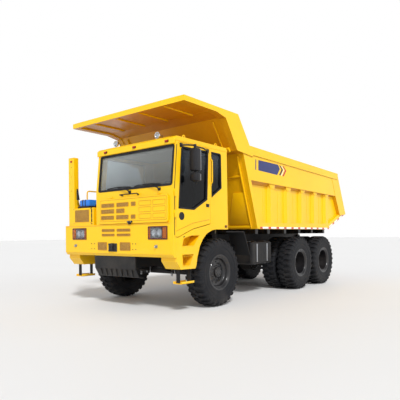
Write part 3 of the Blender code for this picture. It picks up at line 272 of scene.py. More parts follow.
# a darker yellow for the pressing lines and the rings round the slots: painted shade in the grooves
grooveShadeYellow = paintFinish("grooveShadeYellow", (0.66, 0.33, 0.002), (0.58, 0.27, 0.002), 0.2, 0.3)
black = metalFinish("chassisBlack", (0.006, 0.006, 0.007), 0.42, 60.0, dustShare=0.22, edge=0.12)
rimBlack = metalFinish("rimBlack", (0.006, 0.006, 0.008), 0.26, 40.0, dustShare=0.12, edge=0.10, coat=0.5)
steel = metalFinish("machinedSteel", (0.42, 0.43, 0.45), 0.28, 120.0, metallic=1.0, dustShare=0.15)
castIron = metalFinish("castIron", (0.05, 0.052, 0.056), 0.5, 35.0, metallic=0.6, dustShare=0.4)
chrome = metalFinish("hardChrome", (0.75, 0.76, 0.78), 0.08, 200.0, metallic=1.0, dustShare=0.05, pitting=0.08)
rubber = rubberFinish()
seal = plasticFinish("sealRubber", (0.008, 0.008, 0.009), 0.55, 90.0)
plastic = plasticFinish("cabPlastic", (0.009, 0.009, 0.011), 0.42)
greyTrim = plasticFinish("greyTrim", (0.20, 0.205, 0.21), 0.5)
bluePlastic = plasticFinish("bluePlastic", (0.02, 0.17, 0.62), 0.28, 60.0)
# the last colour of each glass is its painted sky reflection
windshieldGlass = glassFinish("windshieldGlass", (0.30, 0.32, 0.31), 0.84, (0.88, 0.92, 0.89))
sideGlass = glassFinish("sideGlass", (0.008, 0.010, 0.014), 0.80, (0.30, 0.38, 0.48), 1.2)
clearLens = lensFinish("clearLens", (0.80, 0.83, 0.86), 0.93)
amberLens = lensFinish("amberLens", (1.0, 0.30, 0.01))
redLens = lensFinish("redLens", (0.55, 0.02, 0.01), 0.25)
mirrorFace = metalFinish("mirrorFace", (0.55, 0.58, 0.62), 0.01, 12.0, metallic=1.0, dustShare=0.03, pitting=0.02)
ventMesh = meshFinish()
seatCloth = clothFinish()
tape = tapeFinish()
navy = decalFinish("navyDecal", (0.012, 0.022, 0.12))
redDecal = decalFinish("redDecal", (0.42, 0.012, 0.008))
darkRed = decalFinish("lampSurround", (0.085, 0.010, 0.006))
darkDecal = decalFinish("darkDecal", (0.012, 0.012, 0.014))

cadFinishes = {
    yellow: ["cab_roof", "cab_shell", "door_left", "fender_left", "fender_right", "front_bumper",
             "grille_flap", "right_deck", "step_left", "step_right"],
    floorYellow: ["bed_floor"],
    bedYellow: ["bed_canopy", "bed_front_wall", "bed_side_left", "bed_side_right"],
    black: ["air_tank", "bed_subframe", "bogie_suspension", "cab_floor", "front_axle", "fuel_tank",
            "knuckle_left", "knuckle_right", "main_frame", "middle_axle", "radiator_guard", "rear_axle",
            "tie_rod", "tow_coupler"],
    castIron: ["engine_and_gearbox", "propeller_shaft", "hoist_barrel"],
    chrome: ["hoist_stage_1", "hoist_stage_2", "hoist_stage_3", "hoist_rod"],
    windshieldGlass: ["windshield"],
    sideGlass: ["door_glass", "quarter_glass", "rear_glass", "right_glass"],
    plastic: ["dashboard", "steering_wheel", "driver_seat_base", "mirror_left"],
}
for finish, names in cadFinishes.items():
    for name in names:
        nodes[name].data.materials.clear()
        nodes[name].data.materials.append(finish)
print("stage: materials")


# ---- shapes
def moved(bm, by=(0, 0, 0), matrix=None):
    bmesh.ops.transform(bm, matrix=matrix or Matrix.Translation(by), verts=bm.verts)
    return bm


def spun(bm, angle, letter="X"):
    return moved(bm, matrix=Matrix.Rotation(angle, 4, letter))


def mirroredX(bm):
    bmesh.ops.scale(bm, verts=bm.verts, vec=(-1, 1, 1))
    bmesh.ops.recalc_face_normals(bm, faces=bm.faces)
    return bm


# shapes drawn for the left, put on the side asked for
def onSide(shapes, side):
    return [shape if side > 0 else mirroredX(shape) for shape in shapes]


# a shape drawn facing +X, turned to face the front and put in its place
def facingFront(bm, place):
    return moved(bm, matrix=Matrix.Translation(place) @ Matrix.Rotation(math.radians(-90), 4, "Z"))


def slotted(bm, slot):
    for face in bm.faces:
        face.material_index = slot
    return bm


def bevelled(bm, geom, offset, segments, affect="EDGES"):
    bmesh.ops.bevel(bm, geom=geom, offset=offset, offset_type="OFFSET", affect=affect, segments=segments,
                    profile=0.5, material=-1, clamp_overlap=True)


def softened(bm, edge, slot=0, segments=2, sharp=0.5):
    if edge:
        edges = [e for e in bm.edges if len(e.link_faces) == 2 and e.calc_face_angle() > sharp]
        bevelled(bm, edges, edge, segments)
    return slotted(bm, slot)


def box(low, high, edge=0.004, slot=0):
    bm = bmesh.new()
    bmesh.ops.create_cube(bm, size=1.0)
    low, high = Vector(low), Vector(high)
    bmesh.ops.scale(bm, verts=bm.verts, vec=high - low)
    bmesh.ops.translate(bm, verts=bm.verts, vec=(high + low) / 2)
    return softened(bm, edge, slot)


def drawnOut(bm, faces, direction, edge, slot):
    drawn = bmesh.ops.extrude_face_region(bm, geom=faces)["geom"]
    bmesh.ops.translate(bm, verts=[v for v in drawn if isinstance(v, bmesh.types.BMVert)], vec=direction)
    bmesh.ops.recalc_face_normals(bm, faces=bm.faces)
    return softened(bm, edge, slot)


def plate(points, direction, edge=0.003, slot=0, corner=0.0):
    bm = bmesh.new()
    bm.faces.new([bm.verts.new(point) for point in points])
    if corner:
        bevelled(bm, bm.verts[:], corner, 4, "VERTICES")
    return drawnOut(bm, bm.faces[:1], direction, edge, slot)


def sidePlate(outline, low, high, **settings):
    return plate([(low, y, z) for y, z in outline], (high - low, 0, 0), **settings)


def frontPlate(outline, low, high, **settings):
    return plate([(x, low, z) for x, z in outline], (0, high - low, 0), **settings)


def floorPlate(outline, low, high, **settings):
    return plate([(x, y, low) for x, y in outline], (0, 0, high - low), **settings)


# a flat ring round an outline, such as a window rubber
def ring(points, direction, width, corner=0.04, edge=0.003, slot=0):
    bm = bmesh.new()
    bm.faces.new([bm.verts.new(point) for point in points])
    bevelled(bm, bm.verts[:], corner, 3, "VERTICES")
    whole = bm.faces[:]
    bmesh.ops.inset_region(bm, faces=whole, thickness=width, use_boundary=True, use_even_offset=True)
    bmesh.ops.delete(bm, geom=whole, context="FACES_ONLY")
    return drawnOut(bm, bm.faces[:], direction, edge, slot)


def rod(start, end, radius, sides=24, edge=0.002, endRadius=None, slot=0):
    start, end = Vector(start), Vector(end)
    bm = bmesh.new()
    bmesh.ops.create_cone(bm, cap_ends=True, segments=sides, radius1=radius,
                          radius2=radius if endRadius is None else endRadius, depth=(end - start).length)
    softened(bm, edge, slot, sharp=0.9)
    turn = Vector((0, 0, 1)).rotation_difference(end - start).to_matrix().to_4x4()
    return moved(bm, matrix=Matrix.Translation((start + end) / 2) @ turn)


# a closed profile of (x, radius) turned about the X axis
def turned(profile, centre, steps=64, slot=0, side=1):
    bm = bmesh.new()
    verts = [bm.verts.new((side * x, 0, -radius)) for x, radius in profile]
    edges = [bm.edges.new(pair) for pair in zip(verts, verts[1:])]
    if all(radius > 0 for x, radius in profile):
        edges.append(bm.edges.new((verts[-1], verts[0])))
    bmesh.ops.spin(bm, geom=verts + edges, axis=(1, 0, 0), cent=(0, 0, 0), angle=2 * math.pi, steps=steps,
                   use_merge=True)
    bmesh.ops.remove_doubles(bm, verts=bm.verts, dist=0.00001)
    bmesh.ops.recalc_face_normals(bm, faces=bm.faces)
    bmesh.ops.translate(bm, verts=bm.verts, vec=centre)
    return slotted(bm, slot)


def around(bm, centre, count, axis=(1, 0, 0)):
    bmesh.ops.spin(bm, geom=bm.verts[:] + bm.edges[:] + bm.faces[:], axis=axis, cent=centre,
                   angle=2 * math.pi * (count - 1) / count, steps=count - 1, use_duplicate=True)
    return bm


# a round bar through points, its corners eased
def bar(points, radius, slot=0, ease=0.04, sides=3):
    curve = bpy.data.curves.new("bar", "CURVE")
    curve.dimensions = "3D"
    curve.bevel_depth = radius
    curve.bevel_resolution = sides
    curve.use_fill_caps = True
    spline = curve.splines.new("POLY")
    path = [Vector(points[0])]
    for before, here, after in zip(points, points[1:], points[2:]):
        before, here, after = Vector(before), Vector(here), Vector(after)
        start = here + (before - here).normalized() * min(ease, (before - here).length * 0.45)
        end = here + (after - here).normalized() * min(ease, (after - here).length * 0.45)
        for step in range(6):
            share = step / 5
            path.append(start.lerp(here, share).lerp(here.lerp(end, share), share))
    path.append(Vector(points[-1]))
    spline.points.add(len(path) - 1)
    for place, point in zip(spline.points, path):
        place.co = (*point, 1)
    holder = bpy.data.objects.new("bar", curve)
    mesh = bpy.data.meshes.new_from_object(holder)
    bm = bmesh.new()
    bm.from_mesh(mesh)
    bmesh.ops.remove_doubles(bm, verts=bm.verts, dist=0.00001)
    bmesh.ops.recalc_face_normals(bm, faces=bm.faces)
    bpy.data.objects.remove(holder)
    bpy.data.curves.remove(curve)
    bpy.data.meshes.remove(mesh)
    return slotted(bm, slot)


def piece(name, body, finishes, shapes, angle=35, replaces=()):
    whole = bmesh.new()
    for shape in shapes:
        part = bpy.data.meshes.new("part")
        shape.to_mesh(part)
        shape.free()
        whole.from_mesh(part)
        bpy.data.meshes.remove(part)
    mesh = bpy.data.meshes.new(name)
    bmesh.ops.translate(whole, verts=whole.verts, vec=frontAxle)
    whole.to_mesh(mesh)
    whole.free()
    for finish in finishes:
        mesh.materials.append(finish)
    mesh.shade_smooth()
    mesh.set_sharp_from_angle(angle=math.radians(angle))
    item = bpy.data.objects.new(name, mesh)
    bpy.context.scene.collection.objects.link(item)
    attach(item, body)
    if replaces:
        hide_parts(*replaces)
    return item


def rectangle(low, high):
    return [(low[0], low[1]), (high[0], low[1]), (high[0], high[1]), (low[0], high[1])]


def frontRing(low, high, y, depth, width, corner, edge=0.003, slot=0):
    return ring([(x, y, z) for x, z in rectangle(low, high)], (0, depth, 0), width, corner, edge, slot)


def bolt(place, axis, radius=0.012, height=0.010, slot=0):
    place, axis = Vector(place), Vector(axis)
    return rod(place - axis * 0.002, place + axis * height, radius, 6, 0.0015, slot=slot)


def frontBolts(across, y, up, *size):
    return [bolt((x, y, z), (0, -1, 0), *size) for x in across for z in up]


# ---- wheels
tyreSizes = {"radius": 0.7405, "halfWidth": 0.2145, "lugs": 30, "lugDepth": 0.036}
axleSizes = {"height": 0.7414, "frontTrack": 1.44, "twinTrack": 1.29, "twinSpread": 0.245, "middle": 3.80,
             "rear": 5.40}


def carcass():
    half = tyreSizes["halfWidth"]
    base = tyreSizes["radius"] - tyreSizes["lugDepth"]
    one = [(0.0, base), (0.10, base - 0.001), (0.165, base - 0.006), (0.193, base - 0.022), (0.204, 0.66),
           (0.207, 0.632), (half - 0.001, 0.60), (half, 0.575), (half, 0.545), (0.207, 0.535), (0.209, 0.50),
           (0.209, 0.455), (0.206, 0.448), (0.206, 0.44), (0.207, 0.432), (0.200, 0.405), (0.190, 0.385),
           (0.178, 0.372), (0.165, 0.356)]
    profile = one + [(-x, radius) for x, radius in one[:0:-1]]
    return turned(profile, (0, 0, 0), 90)


def tyreShapes():
    shapes = [carcass()]
    radius, half = tyreSizes["radius"], tyreSizes["halfWidth"]
    count = tyreSizes["lugs"]
    for side in (1, -1):
        # chevron lug: a zigzag bar from the middle out to the shoulder
        outline = [(-0.014, 0.030), (0.040, -0.012), (0.095, 0.010), (0.150, -0.012), (0.203, -0.012),
                   (0.203, 0.054), (0.150, 0.054), (0.095, 0.078), (0.040, 0.054), (-0.014, 0.086)]
        lug = plate([(side * x, y - 0.03, radius - 0.055) for x, y in outline], (0, 0, 0.055), edge=0.006)
        for vert in lug.verts:
            vert.co.z -= vert.co.y ** 2 / (2 * radius)
            outward = max(0.0, abs(vert.co.x) - 0.165)
            if vert.co.z > radius - 0.03:
                vert.co.z -= outward * 0.75
        shapes.append(around(spun(lug, math.pi / count * (side > 0)), (0, 0, 0), count))
        # shoulder block down the sidewall
        block = box((0.190, -0.030, 0.612), (half - 0.0005, 0.024, 0.705), 0.006)
        for vert in block.verts:
            if vert.co.z > 0.66 and vert.co.x > 0.2:
                vert.co.x -= 0.008
        block = onSide([block], side)[0]
        shapes.append(around(spun(block, math.pi / count * (side > 0)), (0, 0, 0), count))
    return shapes


def tyreAt(side, centre):
    return [moved(spun(shape, math.pi * (side < 0), "Z"), centre) for shape in tyreShapes()]


# nuts, washers and studs in a circle on the face of a wheel
def wheelBolts(centre, side, x, radius, count, size, kinds=3):
    made = []
    for back, out, wide, sides, edge in ((-0.004, 0.022, 1, 6, 0.002), (-0.004, 0.005, 1.5, 12, 0.001),
                                         (0.0, 0.036, 0.55, 8, 0.001))[:kinds]:
        start, end = ((side * (x + step), 0, radius) for step in (back, out))
        made.append(moved(around(rod(start, end, size * wide, sides, edge, slot=1), (0, 0, 0), count), centre))
    return made


# the hand holes of the disc
def handHoles(centre, side, radius, count):
    hole = rod((side * 0.066, 0, radius), (side * 0.080, 0, radius), 0.024, 16, 0.004, slot=2)
    return moved(around(hole, (0, 0, 0), count), centre)


# the loose ring that locks the tyre on, its middle at x
def lockRing(centre, side, x):
    outline = [(-0.006, 0.330), (0.006, 0.336), (0.012, 0.346), (0.004, 0.352), (-0.008, 0.342)]
    return turned([(x + step, radius) for step, radius in outline], centre, 64, side=side)


def rimRing(middle):
    # well and flange of one rim, seen from both sides
    return [(middle + 0.172, 0.372), (middle + 0.188, 0.392), (middle + 0.196, 0.388), (middle + 0.190, 0.362),
            (middle + 0.176, 0.350), (middle + 0.168, 0.338)]


def frontWheel(label, side):
    centre = (side * axleSizes["frontTrack"], 0, axleSizes["height"])
    outer = rimRing(0.0)
    profile = ([(0.158, 0.0), (0.158, 0.055), (0.150, 0.066), (0.150, 0.100), (0.140, 0.112), (0.100, 0.118),
                (0.094, 0.128), (0.094, 0.178), (0.086, 0.190), (0.078, 0.205), (0.074, 0.250), (0.082, 0.282),
                (0.100, 0.300), (0.150, 0.312)] + outer[::-1] + [(-0.172, 0.372), (-0.19, 0.388),
                (-0.196, 0.384), (-0.176, 0.350), (-0.165, 0.318), (0.034, 0.290), (0.034, 0.0)])
    shapes = [turned(profile, centre, 64, side=side)]
    shapes.append(lockRing(centre, side, 0.172))
    shapes += wheelBolts(centre, side, 0.094, 0.158, 12, 0.015)
    shapes += wheelBolts(centre, side, 0.150, 0.084, 8, 0.008, 1)
    shapes.append(handHoles(centre, side, 0.226, 10))
    valve = bar([(side * 0.080, 0.0, 0.275), (side * 0.115, 0.0, 0.270), (side * 0.150, 0.0, 0.262)], 0.006, 1,
                0.01)
    shapes.append(moved(valve, centre))
    piece("rim_front_" + label, "wheel_front_" + label, [rimBlack, castIron, seal], shapes)
    piece("tyre_front_" + label, "wheel_front_" + label, [rubber], tyreAt(side, centre), 40,
          ["wheel_front_" + label])


def twinWheel(place, label, side):
    name = place + "_" + label
    y, spread = axleSizes[place], axleSizes["twinSpread"]
    centre = (side * axleSizes["twinTrack"], y, axleSizes["height"])
    outer = rimRing(spread)
    profile = ([(0.238, 0.0), (0.238, 0.075), (0.226, 0.092), (0.205, 0.098), (0.200, 0.112), (0.110, 0.122),
                (0.100, 0.135), (0.096, 0.185), (0.086, 0.200), (0.078, 0.215), (0.074, 0.255), (0.080, 0.280),
                (0.110, 0.296), (0.330, 0.302), (0.400, 0.312)] + outer[::-1] +
               [(0.073, 0.372), (0.060, 0.380), (0.052, 0.366), (0.045, 0.345), (-0.045, 0.345),
                (-0.052, 0.366), (-0.060, 0.380), (-0.073, 0.372), (-0.417, 0.372), (-0.433, 0.388),
                (-0.440, 0.384), (-0.420, 0.350), (-0.410, 0.318), (0.030, 0.300), (0.030, 0.0)])
    shapes = [turned(profile, centre, 64, side=side)]
    shapes.append(lockRing(centre, side, 0.417))
    shapes += wheelBolts(centre, side, 0.096, 0.162, 12, 0.015)
    shapes += wheelBolts(centre, side, 0.203, 0.106, 10, 0.008, 1)
    shapes.append(handHoles(centre, side, 0.236, 8))
    piece("rims_" + name, "wheel_" + name, [rimBlack, castIron, seal], shapes)
    shapes = []
    for shift in (spread, -spread):
        shapes += tyreAt(side if shift > 0 else -side, (centre[0] + side * shift, y, centre[2]))
    piece("tyres_" + name, "wheel_" + name, [rubber], shapes, 40, ["wheel_" + name])


for side, label in sides:
    frontWheel(label, side)
    twinWheel("middle", label, side)
    twinWheel("rear", label, side)
print("stage: wheels")


# ---- cab, outside
cabSizes = {"left": 1.70, "right": -0.58, "front": -1.58, "proud": 0.009}


def cabFront(z):
    return cabSizes["front"] + max(0.0, z - 2.50) / 0.87 * 0.09


def leaned(bm):
    for vert in bm.verts:
        vert.co.y += cabFront(vert.co.z)
    return bm


def sideRing(outline, x, depth, width, corner=0.05, slot=0):
    return ring([(x, y, z) for y, z in outline], (depth, 0, 0), width, corner, slot=slot)


def grown(outline, distance):
    area = sum(a[0] * b[1] - b[0] * a[1] for a, b in zip(outline, outline[1:] + outline[:1]))
    turn = 1 if area > 0 else -1
    result = []
    for before, here, after in zip(outline[-1:] + outline[:-1], outline, outline[1:] + outline[:1]):
        first = (Vector(here) - Vector(before)).normalized()
        second = (Vector(after) - Vector(here)).normalized()
        across = (Vector((first.y, -first.x)) + Vector((second.y, -second.x))) * turn
        result.append(tuple(Vector(here) + across / (1 + first.dot(second)) * distance))
    return result


quarterWindow = [(-0.365, 2.36), (-0.02, 2.57), (-0.03, 3.27), (-0.06, 3.30), (-0.365, 3.30)]
rightWindow = [(-1.38, 2.45), (-0.12, 2.45), (-0.12, 3.28), (-1.30, 3.28)]
doorWindow = [(-1.425, 2.08), (-0.961, 2.07), (-0.531, 2.294), (-0.480, 3.25), (-0.52, 3.29), (-1.29, 3.28),
              (-1.33, 3.23)]
piece("cab_window_rubbers", "chassis", [seal], [
    leaned(frontRing((-0.508, 2.508), (1.682, 3.307), -cabSizes["proud"], 0.03, 0.042, 0.05)),
    sideRing(grown(quarterWindow, 0.008), cabSizes["left"] + 0.006, -0.05, 0.026, 0.006),
    sideRing(grown(rightWindow, 0.02), cabSizes["right"] - 0.006, 0.05, 0.034, 0.05),
    frontRing((0.03, 2.60), (1.17, 3.22), 0.225, -0.05, 0.034, 0.05),
])


def wiper(x):
    face = cabFront(2.46)
    hub = (x, face - 0.004, 2.459)
    elbow = (x - 0.04, face - 0.045, 2.50)
    far = (x - 0.34, face - 0.030, 2.575)
    return [rod((x, face + 0.01, 2.459), (x, face - 0.040, 2.459), 0.021, 20, 0.004),
            box((x - 0.035, face - 0.012, 2.43), (x + 0.035, face + 0.004, 2.488), 0.006),
            bar([hub, elbow, far], 0.0125, ease=0.02),
            bar([(x - 0.70, cabFront(2.56) - 0.013, 2.563), (x - 0.34, cabFront(2.585) - 0.022, 2.588),
                 (x + 0.02, cabFront(2.56) - 0.013, 2.561)], 0.0105, ease=0.3),
            leaned(box((x - 0.70, -0.012, 2.545), (x + 0.02, -0.004, 2.558), 0.002))]


piece("wipers", "chassis", [plastic], wiper(0.511) + wiper(1.347))
piece("front_grab_bar", "chassis", [plastic], [
    bar([(0.285, -1.575, 2.392), (0.262, -1.635, 2.408), (0.262, -1.640, 2.412), (0.778, -1.640, 2.412),
         (0.778, -1.635, 2.408), (0.755, -1.575, 2.392)], 0.011, ease=0.018),
    box((0.262, -1.592, 2.383), (0.31, -1.578, 2.405), 0.003),
    box((0.730, -1.592, 2.383), (0.778, -1.578, 2.405), 0.003)])


def markerLamp(x):
    base = box((x - 0.046, -1.543, 3.352), (x + 0.046, -1.526, 3.398), 0.005, 0)
    lens = box((x - 0.038, -1.562, 3.357), (x + 0.038, -1.538, 3.393), 0.010, 1)
    return [base, lens]


piece("roof_markers", "chassis", [plastic, redLens],
      markerLamp(-0.30) + markerLamp(0.60) + markerLamp(1.506))


def workLamp(x):
    y, z = -1.30, 3.575
    body = turned([(0.0, 0.0), (0.0, 0.030), (0.02, 0.055), (0.055, 0.066), (0.075, 0.066), (0.075, 0.056),
                   (0.06, 0.05), (0.02, 0.0)], (0, 0, 0), 32, 0)
    lens = turned([(0.062, 0.0), (0.062, 0.054), (0.070, 0.055), (0.078, 0.040), (0.082, 0.0)], (0, 0, 0), 32, 1)
    cradle = [(x - 0.072, y, z), (x - 0.072, y, 3.50), (x + 0.072, y, 3.50), (x + 0.072, y, z)]
    return [facingFront(body, (x, y, z)), facingFront(lens, (x, y, z)), bar(cradle, 0.007, 2, 0.02),
            rod((x, y, 3.466), (x, y, 3.505), 0.016, 12, slot=2),
            rod((x, y, 3.466), (x, y, 3.478), 0.035, 20, slot=2)]


piece("roof_work_lamps", "chassis", [chrome, clearLens, plastic], workLamp(-0.163) + workLamp(1.096))


def liftingEye(x, y):
    loop = turned([(-0.010, 0.022), (0.010, 0.022), (0.012, 0.036), (0.0, 0.043), (-0.012, 0.036)], (x, y, 3.505),
                  28)
    return [loop, box((x - 0.022, y - 0.034, 3.465), (x + 0.022, y + 0.034, 3.476), 0.003)]


eyes = []
for x in (1.60, -0.50):
    for y in (-1.14, -0.08):
        eyes += liftingEye(x, y)
piece("roof_lifting_eyes", "chassis", [yellow], eyes)
piece("roof_hatch", "chassis", [yellow, seal], [
    box((0.22, -1.05, 3.466), (0.90, -0.40, 3.492), 0.012),
    ring([(x, y, 3.468) for x, y in rectangle((0.20, -1.07), (0.92, -0.38))], (0, 0, 0.012), 0.018, 0.05, slot=1),
    box((-0.40, -1.44, 3.468), (1.50, -1.41, 3.480), 0.005),
    box((-0.40, -0.02, 3.468), (1.50, 0.01, 3.480), 0.005)])
piece("pillar_grab_handle", "chassis", [yellow], [
    bar([(1.695, -0.392, 3.16), (1.742, -0.392, 3.12), (1.742, -0.392, 2.66), (1.695, -0.392, 2.62)], 0.013),
    box((1.696, -0.412, 3.13), (1.708, -0.372, 3.20), 0.003),
    box((1.696, -0.412, 2.58), (1.708, -0.372, 2.65), 0.003)])
piece("side_marker", "chassis", [plastic, amberLens], [
    box((1.696, 0.100, 1.715), (1.706, 0.190, 1.765), 0.003),
    box((1.702, 0.108, 1.721), (1.719, 0.182, 1.759), 0.008, 1)])
piece("cab_back_vents", "chassis", [plastic, yellow], [
    box((-0.35, 0.2, 2.05 + 0.05 * step), (0.35, 0.226, 2.075 + 0.05 * step), 0.004) for step in range(6)] + [
    frontRing((-0.39, 2.01), (0.39, 2.36), 0.2, 0.028, 0.03, 0.03, slot=1),
    box((-0.54, 0.205, 2.50), (1.66, 0.222, 2.52), 0.004, 1)])
print("stage: cab outside")


# ---- service flap and bumper front
slotRows = {
    "flap": [(2.170, 2.245, ((-0.355, 0.056), (0.139, 0.499), (0.583, 0.707))),
             (2.040, 2.120, ((-0.363, 0.053), (0.127, 0.375))),
             (1.910, 1.984, ((-0.366, 0.044), (0.124, 0.495), (0.575, 0.702)))],
    "bumper": [(1.652, 1.701, ((-0.37, 0.04), (0.12, 0.53))), (1.557, 1.599, ((-0.37, 0.04), (0.12, 0.53)))],
}


def meshSlot(low, high, y, corner=0.015):
    rim = 0.010
    return [frontPlate(rectangle(low, high), y + 0.001, y + 0.006, edge=0.001, slot=1, corner=corner),
            frontRing((low[0] - rim, low[1] - rim), (high[0] + rim, high[1] + rim), y - 0.004, 0.012, 0.012,
                      corner + 0.008)]


flapFace = -1.616
shapes = []
for low, high, spans in slotRows["flap"]:
    for start, end in spans:
        shapes += meshSlot((start, low), (end, high), flapFace - 0.003)
    for start, end in ((0.80, 1.15), (1.19, 1.53)):
        shapes.append(frontRing((start, low - 0.012), (end, high + 0.014), flapFace - 0.004, 0.010, 0.010, 0.02))
shapes.append(frontRing((-0.405, 1.86), (1.575, 2.325), flapFace - 0.003, 0.008, 0.010, 0.04, 0.002))
piece("flap_slots", "service_flap", [grooveShadeYellow, ventMesh], shapes)
piece("flap_latch", "service_flap", [plastic, steel], [
    box((0.463, -1.634, 1.826), (0.612, flapFace + 0.002, 1.863), 0.006),
    rod((0.50, -1.630, 1.845), (0.50, -1.644, 1.845), 0.010, 16, slot=1),
    rod((0.575, -1.630, 1.845), (0.575, -1.644, 1.845), 0.010, 16, slot=1),
    box((0.500, -1.640, 1.792), (0.575, -1.622, 1.830), 0.007)])
bumperFace = -1.60
shapes = []
for low, high, spans in slotRows["bumper"]:
    for start, end in spans:
        shapes += meshSlot((start, low), (end, high), bumperFace - 0.003)
for start, end in ((-0.511, -0.210), (0.211, 0.529)):
    shapes += meshSlot((start, 1.256), (end, 1.418), bumperFace - 0.003)
shapes += frontBolts((-0.73, -0.63, 0.60, 0.69), bumperFace, (1.278, 1.392), 0.011, 0.008, 2)
shapes.append(box((-1.695, bumperFace - 0.003, 1.775), (1.62, bumperFace + 0.004, 1.786), 0.002))
piece("bumper_slots", "chassis", [grooveShadeYellow, ventMesh, castIron], shapes)


def towHook(x):
    return [box((x - 0.035, bumperFace - 0.010, 1.315), (x + 0.035, bumperFace + 0.002, 1.375), 0.004),
            bar([(x, bumperFace, 1.362), (x, bumperFace - 0.045, 1.355), (x, bumperFace - 0.045, 1.322),
                 (x, bumperFace - 0.012, 1.318)], 0.010, ease=0.02)]


piece("recovery_hooks", "chassis", [steel], towHook(-1.30) + towHook(1.264))
piece("coupler_pin", "chassis", [castIron], [
    rod((-0.0145, -1.629, 1.245), (-0.0145, -1.629, 1.392), 0.018, 24),
    rod((-0.0145, -1.629, 1.388), (-0.0145, -1.629, 1.405), 0.028, 24),
    box((-0.150, -1.612, 1.225), (0.121, -1.601, 1.400), 0.006)] + frontBolts((-0.135, 0.106), -1.612,
        (1.245, 1.380)))


def headlight(label, low, high, outer):
    y = -1.6115
    middleZ = 1.61
    amber = (high - 0.125, high - 0.022) if outer > 0 else (low + 0.022, low + 0.125)
    clear = (low + 0.072, high - 0.140) if outer > 0 else (low + 0.140, high - 0.072)
    shapes = [frontRing((low + 0.001, 1.4812), (high - 0.001, 1.7388), y, 0.055, 0.020, 0.018),
              box((low + 0.004, -1.556, 1.485), (high - 0.004, -1.5415, 1.735), 0.003, 1),
              box((amber[0], y + 0.001, 1.504), (amber[1], y + 0.014, 1.716), 0.006, 2),
              box((clear[0], y + 0.001, 1.504), (clear[1], y + 0.007, 1.716), 0.003, 3),
              box((clear[0] - 0.012, y + 0.002, 1.492), (clear[0] - 0.001, y + 0.030, 1.728), 0.002, 0),
              box((clear[1] + 0.001, y + 0.002, 1.492), (clear[1] + 0.012, y + 0.030, 1.728), 0.002, 0)]
    narrow = (low + 0.022, low + 0.064) if outer > 0 else (high - 0.064, high - 0.022)
    shapes.append(box((narrow[0], y + 0.001, 1.504), (narrow[1], y + 0.014, 1.716), 0.005, 2))
    radius = min(0.098, (clear[1] - clear[0]) / 4.3)
    for share in (0.27, 0.73):
        x = clear[0] + share * (clear[1] - clear[0])
        bowl = turned([(0.0, 0.0), (0.004, radius * 0.55), (0.028, radius), (0.034, radius),
                       (0.034, radius * 1.06), (-0.004, radius * 0.6), (-0.004, 0.0)], (0, 0, 0), 32, 4)
        bulb = turned([(0.0, 0.0), (0.0, 0.012), (0.026, 0.012), (0.032, 0.0)], (0, 0, 0), 16, 4)
        shapes += [facingFront(bowl, (x, -1.560, middleZ)), facingFront(bulb, (x, -1.560, middleZ))]
    return piece("lamp_unit_" + label, "chassis", [darkRed, plastic, amberLens, clearLens, chrome], shapes, 35,
                 ["headlight_" + label])


headlight("left", 1.044, 1.564, 1)
headlight("right", -1.425, -0.912, -1)

# cooling guard louvres on the sloping plate under the bumper
shapes = []
for step in range(7):
    x = -0.60 + 0.165 * step
    top, foot = Vector((0, -1.537, 0.84)), Vector((0, -1.440, 0.697))
    points = [(x + 0.07, *top.yz), (x + 0.115, *top.yz), (x + 0.045, *foot.yz), (x, *foot.yz)]
    shapes.append(plate(points, (0, -0.010, -0.006), edge=0.003))
shapes += frontBolts((-0.62, -0.05, 0.52), -1.536, (1.06,))
piece("guard_louvres", "chassis", [black], shapes)
print("stage: front")


# ---- door
piece("door_window_rubber", "cab_door", [seal], [
    sideRing(grown(doorWindow, 0.008), cabSizes["left"] + 0.006, -0.05, 0.030, 0.006),
    box((1.652, -0.968, 2.08), (1.668, -0.955, 3.27), 0.002)])
piece("door_round_cap", "cab_door", [plastic], [
    moved(turned([(-0.004, 0.0), (-0.004, 0.078), (0.004, 0.078), (0.010, 0.070), (0.010, 0.058), (0.006, 0.052),
                  (0.009, 0.0)], (0, 0, 0), 40), (cabSizes["left"], -1.34, 1.93))])
piece("door_handle", "cab_door", [plastic, steel], [
    box((1.696, -0.565, 2.135), (1.706, -0.455, 2.205), 0.006),
    box((1.704, -0.560, 2.165), (1.722, -0.475, 2.190), 0.007),
    rod((1.698, -0.470, 2.152), (1.712, -0.470, 2.152), 0.009, 16, slot=1)])
# the pressing line is drawn in the darker yellow, a painted shade
piece("door_pressing", "cab_door", [grooveShadeYellow], [
    sidePlate([(-1.50, 1.632), (-1.22, 1.722), (-0.98, 1.795), (-0.47, 1.872), (-0.47, 1.882), (-0.98, 1.806),
               (-1.22, 1.734), (-1.50, 1.644)], 1.697, 1.704, edge=0.002),
    box((1.697, -1.515, 1.72), (1.704, -1.505, 2.35), 0.002)])
piece("door_seal", "cab_door", [seal], [
    sidePlate([(-1.556, 1.56), (-1.541, 1.56), (-1.537, 2.42), (-1.457, 3.30), (-1.472, 3.30), (-1.552, 2.42)],
              1.690, 1.704, edge=0.002),
    ring([(1.634, y, z) for y, z in grown([(-1.535, 1.53), (-1.43, 1.53), (-1.246, 1.60), (-0.999, 1.686),
                                          (-0.608, 1.76), (-0.42, 1.80), (-0.42, 3.31), (-0.46, 3.35),
                                          (-1.40, 3.35), (-1.45, 3.28), (-1.53, 2.42)], 0.0035)],
         (0.05, 0, 0), 0.012, 0.002, 0.0)])


